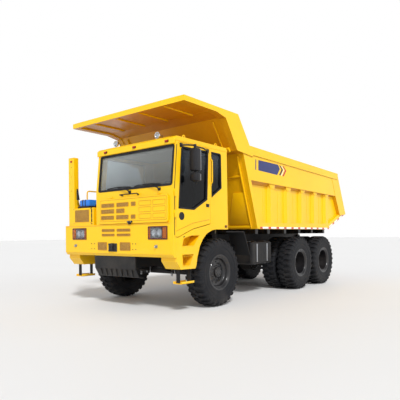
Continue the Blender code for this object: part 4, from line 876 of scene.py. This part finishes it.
def mirrorShapes():
    head = box((1.795, -1.222, 2.80), (1.968, -1.040, 3.25), 0.040)
    lower = box((1.800, -1.220, 2.600), (1.966, -1.045, 2.772), 0.040)
    shapes = [head, lower, box((1.810, -1.044, 2.822), (1.953, -1.034, 3.228), 0.004, 1),
              box((1.814, -1.049, 2.622), (1.950, -1.039, 2.752), 0.004, 1),
              bar([(1.88, -1.13, 2.66), (1.88, -1.13, 3.305), (1.80, -1.24, 3.305), (1.712, -1.343, 3.30)],
                  0.016),
              bar([(1.878, -1.125, 3.285), (1.82, -0.80, 3.302), (1.712, -0.505, 3.303)], 0.015),
              box((1.7005, -1.38, 3.262), (1.722, -1.308, 3.338), 0.006),
              box((1.7005, -0.542, 3.266), (1.722, -0.468, 3.338), 0.006),
              rod((1.88, -1.13, 3.25), (1.88, -1.13, 3.325), 0.028, 20, 0.004),
              rod((1.88, -1.13, 2.765), (1.88, -1.13, 2.81), 0.030, 20, 0.004),
              bar([(1.86, -1.07, 2.63), (1.85, -1.08, 2.585), (1.84, -1.06, 2.56)], 0.008)]
    return shapes


piece("mirror_pair", "cab_door", [plastic, mirrorFace], mirrorShapes(), 35, ["mirror_left"])
print("stage: door")


# ---- fenders, steps and mudguards
upperPocket = [(-1.34, 1.341), (-0.97, 1.341), (-0.93, 1.40), (-0.79, 1.555), (-1.05, 1.555), (-1.30, 1.50)]
lowerPocket = [(-1.342, 1.186), (-0.976, 1.181), (-1.105, 0.955), (-1.316, 0.955)]


for side, label in sides:
    shapes = [sideRing(grown(upperPocket, 0.010), 1.694, 0.010, 0.016, 0.03),
              sideRing(grown(lowerPocket, 0.010), 1.694, 0.010, 0.016, 0.03)]
    for z, low, high in ((1.341, -1.31, -0.99), (0.955, -1.30, -1.12)):
        for step in range(4):
            x = 1.52 + 0.045 * step
            shapes.append(box((x, low, z - 0.002), (x + 0.016, high, z + 0.006), 0.002))
    shapes.append(rod((1.694, -1.272, 1.520), (1.702, -1.272, 1.520), 0.022, 20, 0.002, slot=1))
    shapes.append(box((1.692, -1.30, 1.145), (1.703, -1.02, 1.152), 0.001))
    piece("step_pocket_trim_" + label, "chassis", [yellow, plastic], onSide(shapes, side))
    tread = [box((1.45, -1.33, 0.600), (1.68, -0.95, 0.612), 0.003),
             box((1.668, -1.33, 0.600), (1.68, -0.95, 0.650), 0.003),
             box((1.45, -1.33, 0.600), (1.462, -0.95, 0.650), 0.003)]
    for across in range(4):
        for along in range(9):
            tread.append(rod((1.49 + 0.05 * across, -1.305 + 0.041 * along, 0.611),
                             (1.49 + 0.05 * across, -1.305 + 0.041 * along, 0.619), 0.010, 8, 0, slot=0))
    straps = []
    for y in (-1.31, -0.985):
        straps += [box((1.515, y, 0.605), (1.605, y + 0.02, 0.8885), 0.004, 1),
                   bolt((1.54, y + 0.02, 0.86), (0, 1, 0), slot=1),
                   bolt((1.58, y + 0.02, 0.86), (0, 1, 0), slot=1)]
    piece("hanging_step_" + label, "chassis", [yellow, seal], onSide(tread + straps, side), 35,
          ["step_" + label])
    guard = [sidePlate([(0.24, 1.630), (0.97, 1.630), (1.235, 1.060), (1.228, 1.056), (0.962, 1.622),
                        (0.24, 1.622)],
                       1.17, 1.63, edge=0.002),
             sidePlate([(0.23, 1.635), (0.975, 1.635), (1.24, 1.065), (1.222, 1.055), (0.955, 1.612),
                        (0.23, 1.612)],
                       1.625, 1.637, edge=0.003),
             bar([(0.44, 0.45, 1.24), (0.60, 0.45, 1.595), (1.20, 0.45, 1.614)], 0.018),
             bar([(0.44, 1.02, 1.10), (1.25, 1.115, 1.28)], 0.018)]
    piece("mudguard_" + label, "chassis", [seal], onSide(guard, side))
    strut = bar([(1.50, 0.02, 1.60), (1.44, 0.10, 1.665)], 0.014)
    piece("fender_stay_" + label, "chassis", [greyTrim], onSide([strut], side))
print("stage: fenders and steps")


# ---- right-hand deck
shapes = meshSlot((-1.40, 1.88), (-0.87, 2.16), -1.553)
shapes += frontBolts((-1.44, -0.83), -1.55, (1.86, 2.18), 0.009, 0.006, 2)
shapes += [box((-0.802, -1.556, low), (-0.766, -1.548, high), 0.004, 3) for low, high in
           ((1.825, 1.850), (1.875, 1.955), (1.965, 2.075), (2.085, 2.165))]
shapes.append(rod((-0.784, -1.548, 2.187), (-0.784, -1.562, 2.187), 0.012, 12, slot=3))
shapes += [sideRing(rectangle((-1.40, 1.86), (-0.45, 2.15)), -1.636, 0.01, 0.012, 0.03)]
for step in range(6):
    shapes.append(box((-1.640, -1.28 + 0.12 * step, 1.93), (-1.628, -1.21 + 0.12 * step, 2.08), 0.003, 3))
piece("deck_trim", "chassis", [yellow, ventMesh, castIron, seal], shapes)
piece("deck_post_trim", "chassis", [yellow, redLens, plastic, castIron], [
    box((-1.625, -1.555, 3.385), (-1.425, -1.425, 3.398), 0.004),
    box((-1.555, -1.566, 3.29), (-1.495, -1.546, 3.33), 0.006, 1),
    frontPlate([(-1.345, 2.40), (-1.275, 2.40), (-1.335, 2.66), (-1.345, 2.66)], -1.545, -1.505, edge=0.004,
               slot=2)] +
      frontBolts((-1.525,), -1.55, (2.62, 2.95, 3.18), 0.008, 0.006, 3) +
      frontBolts((-1.60,), -1.55, (2.24, 2.50, 2.80, 3.05), 0.006, 0.005, 3))
piece("coolant_reservoir", "chassis", [bluePlastic, plastic, greyTrim], [
    box((-1.335, -1.475, 2.244), (-0.965, -1.175, 2.398), 0.030),
    box((-1.36, -1.50, 2.2005), (-0.94, -1.15, 2.252), 0.008, 1),
    rod((-1.06, -1.30, 2.392), (-1.06, -1.30, 2.399), 0.045, 24, 0.002, slot=1),
    box((-1.22, -1.482, 2.21), (-1.19, -1.168, 2.399), 0.006, 1),
    box((-1.13, -1.482, 2.21), (-1.10, -1.168, 2.399), 0.006, 1),
    bar([(-0.968, -1.30, 2.27), (-0.90, -1.30, 2.27), (-0.85, -1.20, 2.22), (-0.80, -1.10, 2.206)], 0.012, 1)],
    35,
      ["coolant_tank"])
piece("deck_handrail", "chassis", [yellow], [
    bar([(-1.585, -1.06, 2.195), (-1.585, -1.06, 2.66), (-1.585, -0.42, 2.66), (-1.585, -0.42, 2.195)], 0.017,
        ease=0.07),
    bar([(-1.585, -1.06, 2.44), (-1.585, -0.42, 2.44)], 0.012),
    rod((-1.585, -1.06, 2.198), (-1.585, -1.06, 2.208), 0.035, 20),
    rod((-1.585, -0.42, 2.198), (-1.585, -0.42, 2.208), 0.035, 20)])
treadSizes = {"start": (-1.50, -1.08), "step": (0.085, 0.082), "top": 2.1995, "count": 9}
treads = []
for across in range(treadSizes["count"]):
    for along in range(treadSizes["count"]):
        x, y = (start + step * index for start, step, index in
                zip(treadSizes["start"], treadSizes["step"], (across, along)))
        bump = spun(box((-0.022, -0.006, 0), (0.022, 0.006, 0.004), 0),
                    math.radians(45 if (across + along) % 2 else -45), "Z")
        treads.append(moved(bump, (x, y, treadSizes["top"])))
piece("deck_tread", "chassis", [yellow], treads)
piece("air_intake", "chassis", [plastic, steel], [
    rod((-1.02, -0.62, 2.198), (-1.02, -0.62, 2.60), 0.11, 32, 0.01),
    rod((-1.02, -0.62, 2.60), (-1.02, -0.62, 2.66), 0.145, 32, 0.02),
    rod((-1.02, -0.62, 2.66), (-1.02, -0.62, 2.70), 0.10, 32, 0.015, 0.06),
    rod((-1.02, -0.62, 2.28), (-1.02, -0.62, 2.30), 0.114, 32, 0.003, slot=1),
    rod((-1.02, -0.62, 2.50), (-1.02, -0.62, 2.52), 0.114, 32, 0.003, slot=1)])
print("stage: right deck")


# ---- bed
bedSizes = {"side": 1.745, "rail": 1.722, "wallTop": (0.80, 3.44), "wallFoot": (1.41, 1.69),
            "hinge": (6.15, 1.45), "sunk": 0.0006, "decal": 0.0020, "tape": 0.0016}


def wallY(z):
    top, foot = bedSizes["wallTop"], bedSizes["wallFoot"]
    return foot[0] + (z - foot[1]) / (top[1] - foot[1]) * (top[0] - foot[0])


def onWall(bm):
    for vert in bm.verts:
        vert.co.y += wallY(vert.co.z)
    return bm


# the band on the side wall: a block, the long field and three arrow heads
decalOutlines = [
    (0, [(1.330, 3.114), (1.372, 3.112), (1.375, 3.360), (1.335, 3.361)]),
    (0, [(1.468, 3.112), (2.414, 3.092), (2.560, 3.262), (2.468, 3.366), (1.473, 3.363)]),
    (1, [(2.530, 3.356), (2.606, 3.356), (2.733, 3.259), (2.588, 3.098), (2.512, 3.100), (2.655, 3.259)]),
    (2, [(2.640, 3.358), (2.668, 3.358), (2.795, 3.257), (2.655, 3.094), (2.627, 3.096), (2.765, 3.257)]),
    (3, [(2.715, 3.360), (2.785, 3.362), (2.921, 3.253), (2.770, 3.088), (2.698, 3.090), (2.845, 3.254)]),
]
tapeOutlines = [[(1.44, 1.698), (5.86, 1.698), (5.86, 1.744), (1.42, 1.744)],
                [(5.86, 1.740), (7.20, 2.196), (7.185, 2.243), (5.845, 1.786)]]
for side, label in sides:
    x = bedSizes["side"] - bedSizes["sunk"]
    decals = [sidePlate(outline, x, x + bedSizes["decal"], edge=0, slot=slot) for slot, outline in decalOutlines]
    piece("bed_decals_" + label, "dump_bed", [navy, darkDecal, tape, redDecal], onSide(decals, side))
    rail = bedSizes["rail"] - bedSizes["sunk"]
    strips = [sidePlate(outline, rail, rail + bedSizes["tape"], edge=0) for outline in tapeOutlines]
    piece("bed_tape_" + label, "dump_bed", [tape], onSide(strips, side))
    seams = [bar([(1.6415, y, 1.86), (1.6415, y, 2.70)], 0.004) for y in (1.85, 2.60, 3.50, 4.40, 5.25)]
    for y in (2.195, 3.095, 3.978, 4.84, 5.722):
        outline = [(y - 0.10, 2.70), (y + 0.10, 2.70), (y + 0.155, 2.835), (y - 0.155, 2.835)]
        seams.append(sidePlate(outline, 1.700, 1.7215, edge=0.006))
    for y in (1.9, 5.9):
        top = 3.60 - (y - 1.4) * 0.0185
        seams.append(box((1.60, y - 0.05, top), (1.655, y + 0.05, top + 0.065), 0.008))
    piece("bed_side_trim_" + label, "dump_bed", [bedYellow], onSide(seams, side))

wallShapes = []
for side in (1, -1):
    for outline, low in (([(0.96, 1.80), (1.55, 1.80), (1.56, 2.56), (1.25, 2.56)], -0.030),
                         ([(0.20, 1.80), (0.78, 1.80), (0.98, 2.56), (0.20, 2.56)], -0.024)):
        wallShapes += onSide([onWall(frontPlate(outline, low, 0.004, edge=0.008))], side)
    edgeBar = onWall(box((1.575, -0.050, 1.74), (1.5985, 0.004, 3.38), 0.004))
    gusset = sidePlate([(0.118, 4.075), (0.470, 3.560), (0.440, 3.535), (0.075, 4.06)], 1.385, 1.415, edge=0.004)
    wallShapes += onSide([edgeBar, gusset], side)
wallShapes += [onWall(box((-1.598, -0.028, 2.905), (-0.16, 0.004, 2.955), 0.008)),
               onWall(box((0.16, -0.028, 2.905), (1.598, 0.004, 2.955), 0.008)),
               onWall(box((-1.598, -0.040, 1.70), (1.598, 0.004, 1.775), 0.010)),
               sidePlate([(0.462, 3.545), (0.520, 3.458), (0.470, 3.420), (0.405, 3.510)], -1.598, 1.598,
                   edge=0.006)]
piece("front_wall_stiffeners", "dump_bed", [bedYellow], wallShapes)
piece("canopy_seams", "dump_bed", [bedYellow], [
    bar([(x, -1.30, 4.2355), (x, -0.26, 4.2355), (x, 0.15, 4.142)], 0.005, ease=0.05) for x in (-0.8, 0.0, 0.8)])
piece("floor_seams", "dump_bed", [bedYellow], [
    bar([(x, 1.45, 1.7505), (x, 5.83, 1.7505), (x, 7.22, 2.235)], 0.005, ease=0.03) for x in (-0.80, 0.0, 0.80)])
hinge = bedSizes["hinge"]
piece("hinge_bosses", "dump_bed", [black, steel], [
    rod((side * 0.30, *hinge), (side * 0.349, *hinge), 0.105, 32, 0.006) for side in (1, -1)])
print("stage: bed")


# ---- under the truck
bogieSizes = {"middle": 4.60, "height": 0.7114, "leaves": 4}
for side, label in sides:
    shapes = []
    for leaf in range(5):
        reach, z = 0.60 - 0.09 * leaf, 0.780 - 0.016 * leaf
        shapes.append(box((0.352, -reach, z - 0.004), (0.448, reach, z + 0.007), 0.003))
    for y in (-0.16, 0.16):
        clip = [(0.345, y, 0.66), (0.345, y, 0.86), (0.455, y, 0.86), (0.455, y, 0.66)]
        shapes.append(bar(clip, 0.012, 1, 0.03))
    shapes.append(rod((0.50, -0.30, 0.70), (0.53, -0.22, 1.20), 0.035, 24, 0.006, slot=0))
    shapes.append(rod((0.495, -0.315, 0.62), (0.50, -0.30, 0.72), 0.022, 16, 0.003, slot=1))
    piece("front_spring_detail_" + label, "chassis", [black, steel], onSide(shapes, side))
    shapes = []
    middle, height = bogieSizes["middle"], bogieSizes["height"]
    for leaf in range(bogieSizes["leaves"]):
        z, reach = 0.932 - 0.020 * leaf, 0.80 - 0.06 * leaf
        shapes.append(box((0.525, middle - reach, z), (0.655, middle + reach, z + 0.006), 0.002))
    for y in (middle - 0.13, middle + 0.13):
        clip = [(0.518, y, 0.76), (0.518, y, 0.945), (0.662, y, 0.945), (0.662, y, 0.76)]
        shapes.append(bar(clip, 0.013, 1, 0.03))
    shapes.append(rod((0.66, middle, height), (0.70, middle, height), 0.11, 32, 0.01))
    for turn in range(6):
        angle = math.radians(60 * turn)
        place = (0.70, middle + 0.08 * math.cos(angle), height + 0.08 * math.sin(angle))
        shapes.append(bolt(place, (1, 0, 0), slot=1))
    piece("bogie_detail_" + label, "chassis", [black, steel], onSide(shapes, side))
    # rail plates, bolts and lamps
    shapes = []
    for y in (1.20, 2.85, 3.60, 4.30, 4.90, 5.60):
        for z in (0.96, 1.06, 1.17):
            shapes.append(bolt((0.45, y, z), (1, 0, 0), 0.014, 0.012, 0))
    shapes += [box((0.450, 4.30, 0.885), (0.462, 4.90, 1.10), 0.003, 0),
               box((0.50, 6.12, 1.095), (0.77, 6.175, 1.215), 0.008, 1),
               bar([(0.44, 6.03, 1.15), (0.52, 6.08, 1.15), (0.52, 6.14, 1.15)], 0.018, 0)]
    shapes += [box((low, 6.168, 1.108), (high, 6.186, 1.202), 0.006, slot)
               for slot, low, high in ((2, 0.512, 0.590), (3, 0.597, 0.673), (4, 0.680, 0.758))]
    piece("rail_detail_" + label, "chassis", [black, plastic, redLens, amberLens, clearLens],
          onSide(shapes, side))

for name in ("middle", "rear"):
    y, z = axleSizes[name], axleSizes["height"]
    shapes = [turned([(-0.198, 0.0), (-0.198, 0.10), (-0.190, 0.275), (-0.170, 0.282), (-0.150, 0.275),
                      (0.150, 0.275), (0.170, 0.282), (0.190, 0.275), (0.198, 0.10), (0.198, 0.0)], (0, y, z),
                      48)]
    for side in (1, -1):
        shapes.append(turned([(side * 0.86, 0.252), (side * 0.90, 0.258), (side * 1.20, 0.258),
            (side * 1.238, 0.250), (side * 1.238, 0.24), (side * 0.86, 0.24)], (0, y, z), 48, 0))
        x = side * 0.62
        shapes += [rod((x, y - 0.16, z + 0.08), (x, y - 0.38, z + 0.10), 0.085, 28, 0.01),
                   rod((x, y - 0.28, z + 0.09), (x, y - 0.30, z + 0.092), 0.092, 28, 0.004)]
    ringBolt = rod((0.186, 0, 0.235), (0.206, 0, 0.235), 0.014, 6, 0.002, slot=1)
    shapes.append(moved(around(ringBolt, (0, 0, 0), 14), (0, y, z)))
    piece("axle_detail_" + name, "chassis", [black, steel], shapes)

shapes = []
for side in (1, -1):
    for y in (1.84, 2.34):
        shapes += onSide([box((1.449, y, 0.86), (1.456, y + 0.05, 1.32), 0.002, 1),
                          box((0.53, y, 1.379), (1.39, y + 0.05, 1.386), 0.002, 1),
                          box((0.53, y, 0.794), (1.39, y + 0.05, 0.801), 0.002, 1)], side)
shapes.append(rod((1.22, 1.80, 1.378), (1.22, 1.80, 1.412), 0.060, 32, 0.008, slot=0))
shapes.append(rod((1.22, 1.80, 1.372), (1.22, 1.80, 1.384), 0.080, 32, 0.003, slot=1))
for step in range(5):
    shapes.append(box((1.447, 1.78 + 0.14 * step, 0.90), (1.4535, 1.80 + 0.14 * step, 1.28), 0.002, 0))
piece("tank_detail", "chassis", [black, steel], shapes)

shapes = [box((low, -0.98, 1.575), (low + 0.25, 0.26, 1.645), 0.02) for low in (-0.30, 0.05)]
for step in range(6):
    y = -0.95 + 0.20 * step
    shapes += [box((low, y, 1.02), (low + 0.024, y + 0.08, 1.50), 0.008) for low in (0.348, -0.372)]
shapes += [rod((0, -1.05, 1.28), (0, -1.10, 1.28), 0.06, 24),
           rod((-0.42, 0.0, 1.33), (-0.42, -0.5, 1.33), 0.055, 28, 0.012)]
fan = sidePlate([(-0.02, 0.05), (0.03, 0.05), (0.05, 0.27), (-0.05, 0.27)], 0, 0.006, edge=0.001)
shapes.append(moved(spun(around(fan, (0, 0, 0), 8), math.radians(90), "Z"), (0, -1.11, 1.28)))
piece("engine_detail", "chassis", [castIron], shapes)
shapes = [box((-0.36, -1.34, 0.96), (0.36, -1.26, 1.62), 0.015)]
for step in range(16):
    shapes.append(box((-0.33 + 0.042 * step, -1.348, 1.0), (-0.325 + 0.042 * step, -1.336, 1.58), 0, 0))
piece("radiator_core", "chassis", [castIron], shapes)
shapes = []
for y in (1.47, 3.34):
    shapes += [rod((0, y - 0.016, 0.7814), (0, y + 0.016, 0.7814), 0.095, 32, 0.004),
               box((-0.075, y - 0.05, 0.756), (0.075, y + 0.05, 0.806), 0.01),
               box((-0.025, y - 0.05, 0.706), (0.025, y + 0.05, 0.856), 0.01)]
piece("propeller_joints", "chassis", [castIron], shapes)
lines = []
for index, x in enumerate((0.405, 0.392, 0.379)):
    z = 1.185 - 0.024 * index
    lines += [bar([(place, y, z) for y in (-1.2, 0.6, 2.4, 4.0, 5.7)], 0.008, ease=0.02) for place in (x, -x)]
piece("brake_lines", "chassis", [seal], lines)
for side, label in sides:
    shapes = [turned([(1.185, 0.222), (1.20, 0.228), (1.38, 0.228), (1.40, 0.222), (1.40, 0.21), (1.185, 0.21)],
                     (0, 0, axleSizes["height"]), 48),
              rod((1.03, 0, 0.925), (1.03, 0, 0.938), 0.05, 24, 0.004, slot=1),
              rod((1.03, 0.10, 0.98), (1.03, 0.34, 0.94), 0.070, 28, 0.012, slot=0)]
    piece("knuckle_detail_" + label, "knuckle_" + label, [black, steel], onSide(shapes, side))

# gland rings of the hoist, each round the mouth of its own tube
hoistSizes = {"foot": (0, 0.72, 1.24), "eye": (0, 0.80, 2.85), "radius": 0.135, "step": 0.0138, "top": 0.16}
foot, eye = Vector(hoistSizes["foot"]), Vector(hoistSizes["eye"])
lean = (eye - foot).normalized()
for stage, body in enumerate(("hoist_barrel", "hoist_stage_1", "hoist_stage_2", "hoist_stage_3")):
    radius = hoistSizes["radius"] - hoistSizes["step"] * stage
    mouth = (eye - foot).length - hoistSizes["top"] + 0.012 * stage
    if stage:
        wide = radius - 0.001
        profile = [(-0.002, radius - 0.011), (-0.002, wide), (0.001, wide - 0.0005), (0.003, wide - 0.003),
                   (0.003, radius - 0.009), (0.001, radius - 0.011)]
    else:
        low, high, wide = -0.060, -0.002, radius + 0.012
        profile = [(low, radius - 0.006), (low, wide - 0.003), (low + 0.002, wide), (high - 0.002, wide),
                   (high, wide - 0.003), (high, radius - 0.006)]
    gland = turned(profile, (0, 0, 0), 64)
    turn = Vector((1, 0, 0)).rotation_difference(lean).to_matrix().to_4x4()
    gland = moved(gland, matrix=Matrix.Translation(foot + lean * mouth) @ turn)
    piece("gland_" + body, body, [black if stage == 0 else steel], [gland])
straps = [rod(foot + lean * place, foot + lean * (place + 0.035), 0.141, 48, 0.004)
          for place in (0.16, 0.60, 1.00)]
piece("hoist_bands", "hoist_barrel", [black], straps)
print("stage: under the truck")


# ---- cab, inside
hub = Vector((1.10, -0.90, 2.56))
axis = Vector((0, -0.50, -0.70)).normalized()
turn = Vector((1, 0, 0)).rotation_difference(axis).to_matrix().to_4x4()
grip = turned([(0.0, 0.222), (0.008, 0.216), (0.012, 0.206), (0.008, 0.196), (0.0, 0.190), (-0.008, 0.196),
               (-0.012, 0.206), (-0.008, 0.216)], (0.015, 0, 0), 64)
boss = turned([(-0.02, 0.0), (-0.02, 0.05), (-0.01, 0.062), (0.03, 0.058), (0.03, 0.0)], (0, 0, 0), 32)
spokes = []
for angle in (90, 210, 330):
    spoke = sidePlate([(-0.018, 0.05), (0.018, 0.05), (0.012, 0.198), (-0.012, 0.198)], 0.008, 0.022, edge=0.004)
    spokes.append(spun(spoke, math.radians(angle)))
wheelShapes = [moved(shape, matrix=Matrix.Translation(hub) @ turn) for shape in [grip, boss] + spokes]
column = rod(hub + axis * 0.03, hub + axis * 0.27, 0.034, 24, 0.004)
piece("steering_wheel_rim", "chassis", [plastic], wheelShapes + [column], 35, ["steering_wheel"])
dash = [box((0.78, -1.30, 2.452), (1.42, -1.12, 2.535), 0.03),
        box((0.86, -1.125, 2.462), (1.34, -1.108, 2.522), 0.008, 1)]
for x in (0.94, 1.06, 1.18, 1.29):
    dash.append(rod((x, -1.112, 2.492), (x, -1.100, 2.492), 0.024, 24, 0.002, slot=2))
for step in range(4):
    dash.append(box((-0.2 + 0.13 * step, -1.145, 2.20), (-0.12 + 0.13 * step, -1.115, 2.24), 0.004, 1))
dash += [box((0.10, -1.116, 2.27), (0.55, -1.090, 2.36), 0.01, 1),
         box((-0.42, -1.52, 2.497), (1.52, -1.30, 2.506), 0.004, 1)]
piece("dashboard_detail", "chassis", [plastic, greyTrim, clearLens], dash)
piece("cab_lining", "chassis", [greyTrim, plastic], [
    box((-0.505, 0.10, 1.78), (1.56, 0.145, 2.58), 0.012),
    box((-0.505, -1.36, 3.345), (1.60, 0.13, 3.366), 0.008),
    box((0.0, -0.30, 1.765), (0.62, 0.08, 2.02), 0.02, 1),
    box((-0.47, -1.45, 1.7605), (1.58, 0.14, 1.772), 0.003, 1),
    bar([(0.62, -0.75, 1.765), (0.64, -0.78, 2.18), (0.645, -0.79, 2.24)], 0.014, 1),
    box((0.54, -0.84, 1.765), (0.74, -0.60, 1.84), 0.015, 1)])


# seat cushions, swollen by a short cloth simulation
cushionSizes = {"voxel": 0.006, "quickVoxel": 0.012, "pressure": 4.0, "frames": 20, "cap": 0.022,
                "channels": (-0.13, 0.13), "channelHalf": 0.018, "channelDepth": 0.007}


def cushion(name, low, high, lean=0.0):
    bm = box(low, high, 0.03)
    if lean:
        pivot = Vector(((low[0] + high[0]) / 2, low[1], low[2]))
        bmesh.ops.rotate(bm, verts=bm.verts, cent=pivot, matrix=Matrix.Rotation(lean, 3, "X"))
    item = piece(name, "chassis", [seatCloth], [bm], 60)
    item.parent = None
    remesh = item.modifiers.new("remesh", "REMESH")
    remesh.mode = "VOXEL"
    remesh.voxel_size = cushionSizes["voxel"]
    graph = bpy.context.evaluated_depsgraph_get()
    item.data = bpy.data.meshes.new_from_object(item.evaluated_get(graph))
    item.modifiers.clear()
    rest = [vert.co.copy() for vert in item.data.vertices]
    cloth = item.modifiers.new("cloth", "CLOTH")
    cloth.settings.use_pressure = True
    cloth.settings.uniform_pressure_force = cushionSizes["pressure"]
    cloth.settings.effector_weights.gravity = 0
    cloth.settings.quality = 3
    frames = cushionSizes["frames"]
    cloth.point_cache.frame_start, cloth.point_cache.frame_end = 1, frames
    scene = bpy.context.scene
    for frameNumber in range(1, frames + 1):
        scene.frame_set(frameNumber)
    graph = bpy.context.evaluated_depsgraph_get()
    item.data = bpy.data.meshes.new_from_object(item.evaluated_get(graph))
    item.modifiers.clear()
    scene.frame_set(1)
    for vert, start in zip(item.data.vertices, rest):
        step = vert.co - start
        if step.length > cushionSizes["cap"]:
            vert.co = start + step.normalized() * cushionSizes["cap"]
    # sewn channels
    middle = (low[0] + high[0]) / 2 + frontAxle.x
    half = cushionSizes["channelHalf"]
    for vert in item.data.vertices:
        for offset in cushionSizes["channels"]:
            near = abs(vert.co.x - middle - offset)
            if near < half:
                vert.co -= vert.normal * cushionSizes["channelDepth"] * (1 - near / half) ** 2
    item.data.materials.clear()
    item.data.materials.append(seatCloth)
    item.data.shade_smooth()
    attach(item, "chassis")
    return item


seat = cushion("seat_cushion", (0.88, -0.67, 2.105), (1.32, -0.22, 2.195))
back = cushion("seat_back", (0.89, -0.185, 2.22), (1.31, -0.10, 2.88), -0.16)
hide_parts("driver_seat_pad")
piece("seat_headrest", "chassis", [seatCloth, steel], [
    box((1.00, -0.06, 2.93), (1.20, 0.02, 3.10), 0.03),
    rod((1.05, -0.02, 2.80), (1.05, -0.02, 2.96), 0.007, 12, slot=1),
    rod((1.15, -0.02, 2.80), (1.15, -0.02, 2.96), 0.007, 12, slot=1)])
piece("seat_frame", "chassis", [plastic], [
    sidePlate([(-0.135, 2.075), (-0.085, 2.075), (0.048, 2.87), (0.002, 2.87)], 0.93, 1.27, edge=0.008)])
print("stage: cab inside")


# ---- stage, light and camera
cameraSizes = {"place": (7.1435, -10.571, 1.5652), "turn": 38.4336, "roll": -0.6009, "lens": 39.50,
               "shiftY": 0.0867}
camera = bpy.data.objects.new("camera", bpy.data.cameras.new("camera"))
bpy.context.scene.collection.objects.link(camera)
turn, roll = math.radians(cameraSizes["turn"]), math.radians(cameraSizes["roll"])
right, ahead = Vector((math.cos(turn), math.sin(turn), 0)), Vector((-math.sin(turn), math.cos(turn), 0))
up = Vector((0, 0, 1))
tilted = right * math.cos(roll) + up * math.sin(roll)
camera.matrix_world = Matrix.Translation(cameraSizes["place"]) @ Matrix(
    (tilted, (-ahead).cross(tilted), -ahead)).transposed().to_4x4()
camera.data.sensor_width = 36
camera.data.lens = cameraSizes["lens"]
camera.data.shift_y = cameraSizes["shiftY"]
camera.data.clip_end = 500
bpy.context.scene.camera = camera
bpy.context.scene.view_settings.view_transform = "Standard"

floorFinish = Finish("paleFloor")
cloudy = floorFinish.noise(0.2, 3.0)
floorFinish.feed("Base Color", floorFinish.mix(cloudy, (0.78, 0.78, 0.78), (0.82, 0.82, 0.82)))
floorFinish.feed("Roughness", 0.65 + 0.1 * cloudy)
ground = bmesh.new()
bmesh.ops.create_grid(ground, x_segments=2, y_segments=2, size=150)
groundMesh = bpy.data.meshes.new("floor")
ground.to_mesh(groundMesh)
ground.free()
groundMesh.materials.append(floorFinish.material)
floor = bpy.data.objects.new("floor", groundMesh)
bpy.context.scene.collection.objects.link(floor)

lightSizes = {"horizon": 1.0, "zenith": 0.30, "sunPower": 2.5, "sunAngle": 8, "fillPower": 30}
world = bpy.data.worlds.new("studio")
world.use_nodes = True
sky = Field(world.node_tree, world.node_tree.nodes.new("ShaderNodeTexCoord").outputs["Generated"])
height = world.node_tree.nodes.new("ShaderNodeSeparateXYZ")
world.node_tree.links.new(sky.socket, height.inputs[0])
lift = world.node_tree.nodes.new("ShaderNodeMapRange")
world.node_tree.links.new(height.outputs["Z"], lift.inputs["Value"])
for key, value in (("From Min", 0.52), ("From Max", 0.75), ("To Min", lightSizes["horizon"]),
                   ("To Max", lightSizes["zenith"])):
    lift.inputs[key].default_value = value
world.node_tree.links.new(lift.outputs[0], world.node_tree.nodes["Background"].inputs["Strength"])
world.node_tree.nodes["Background"].inputs["Color"].default_value = (1.0, 1.0, 1.0, 1)
bpy.context.scene.world = world


def lamp(name, kind, place, target, power, **settings):
    data = bpy.data.lights.new(name, kind)
    data.energy = power
    for key, value in settings.items():
        setattr(data, key, value)
    item = bpy.data.objects.new(name, data)
    item.location = place
    item.rotation_euler = (Vector(target) - Vector(place)).to_track_quat("-Z", "Y").to_euler()
    bpy.context.scene.collection.objects.link(item)


lamp("key", "SUN", (9, -8, 12), (0, 0, 1), lightSizes["sunPower"], angle=math.radians(lightSizes["sunAngle"]))
lamp("fill", "AREA", (3, -14, 6), (0, -2, 1.5), lightSizes["fillPower"], size=8)
lamp("side", "AREA", (13, 2, 5), (0, 0, 1.5), lightSizes["fillPower"], size=8)

print("stage: finished")
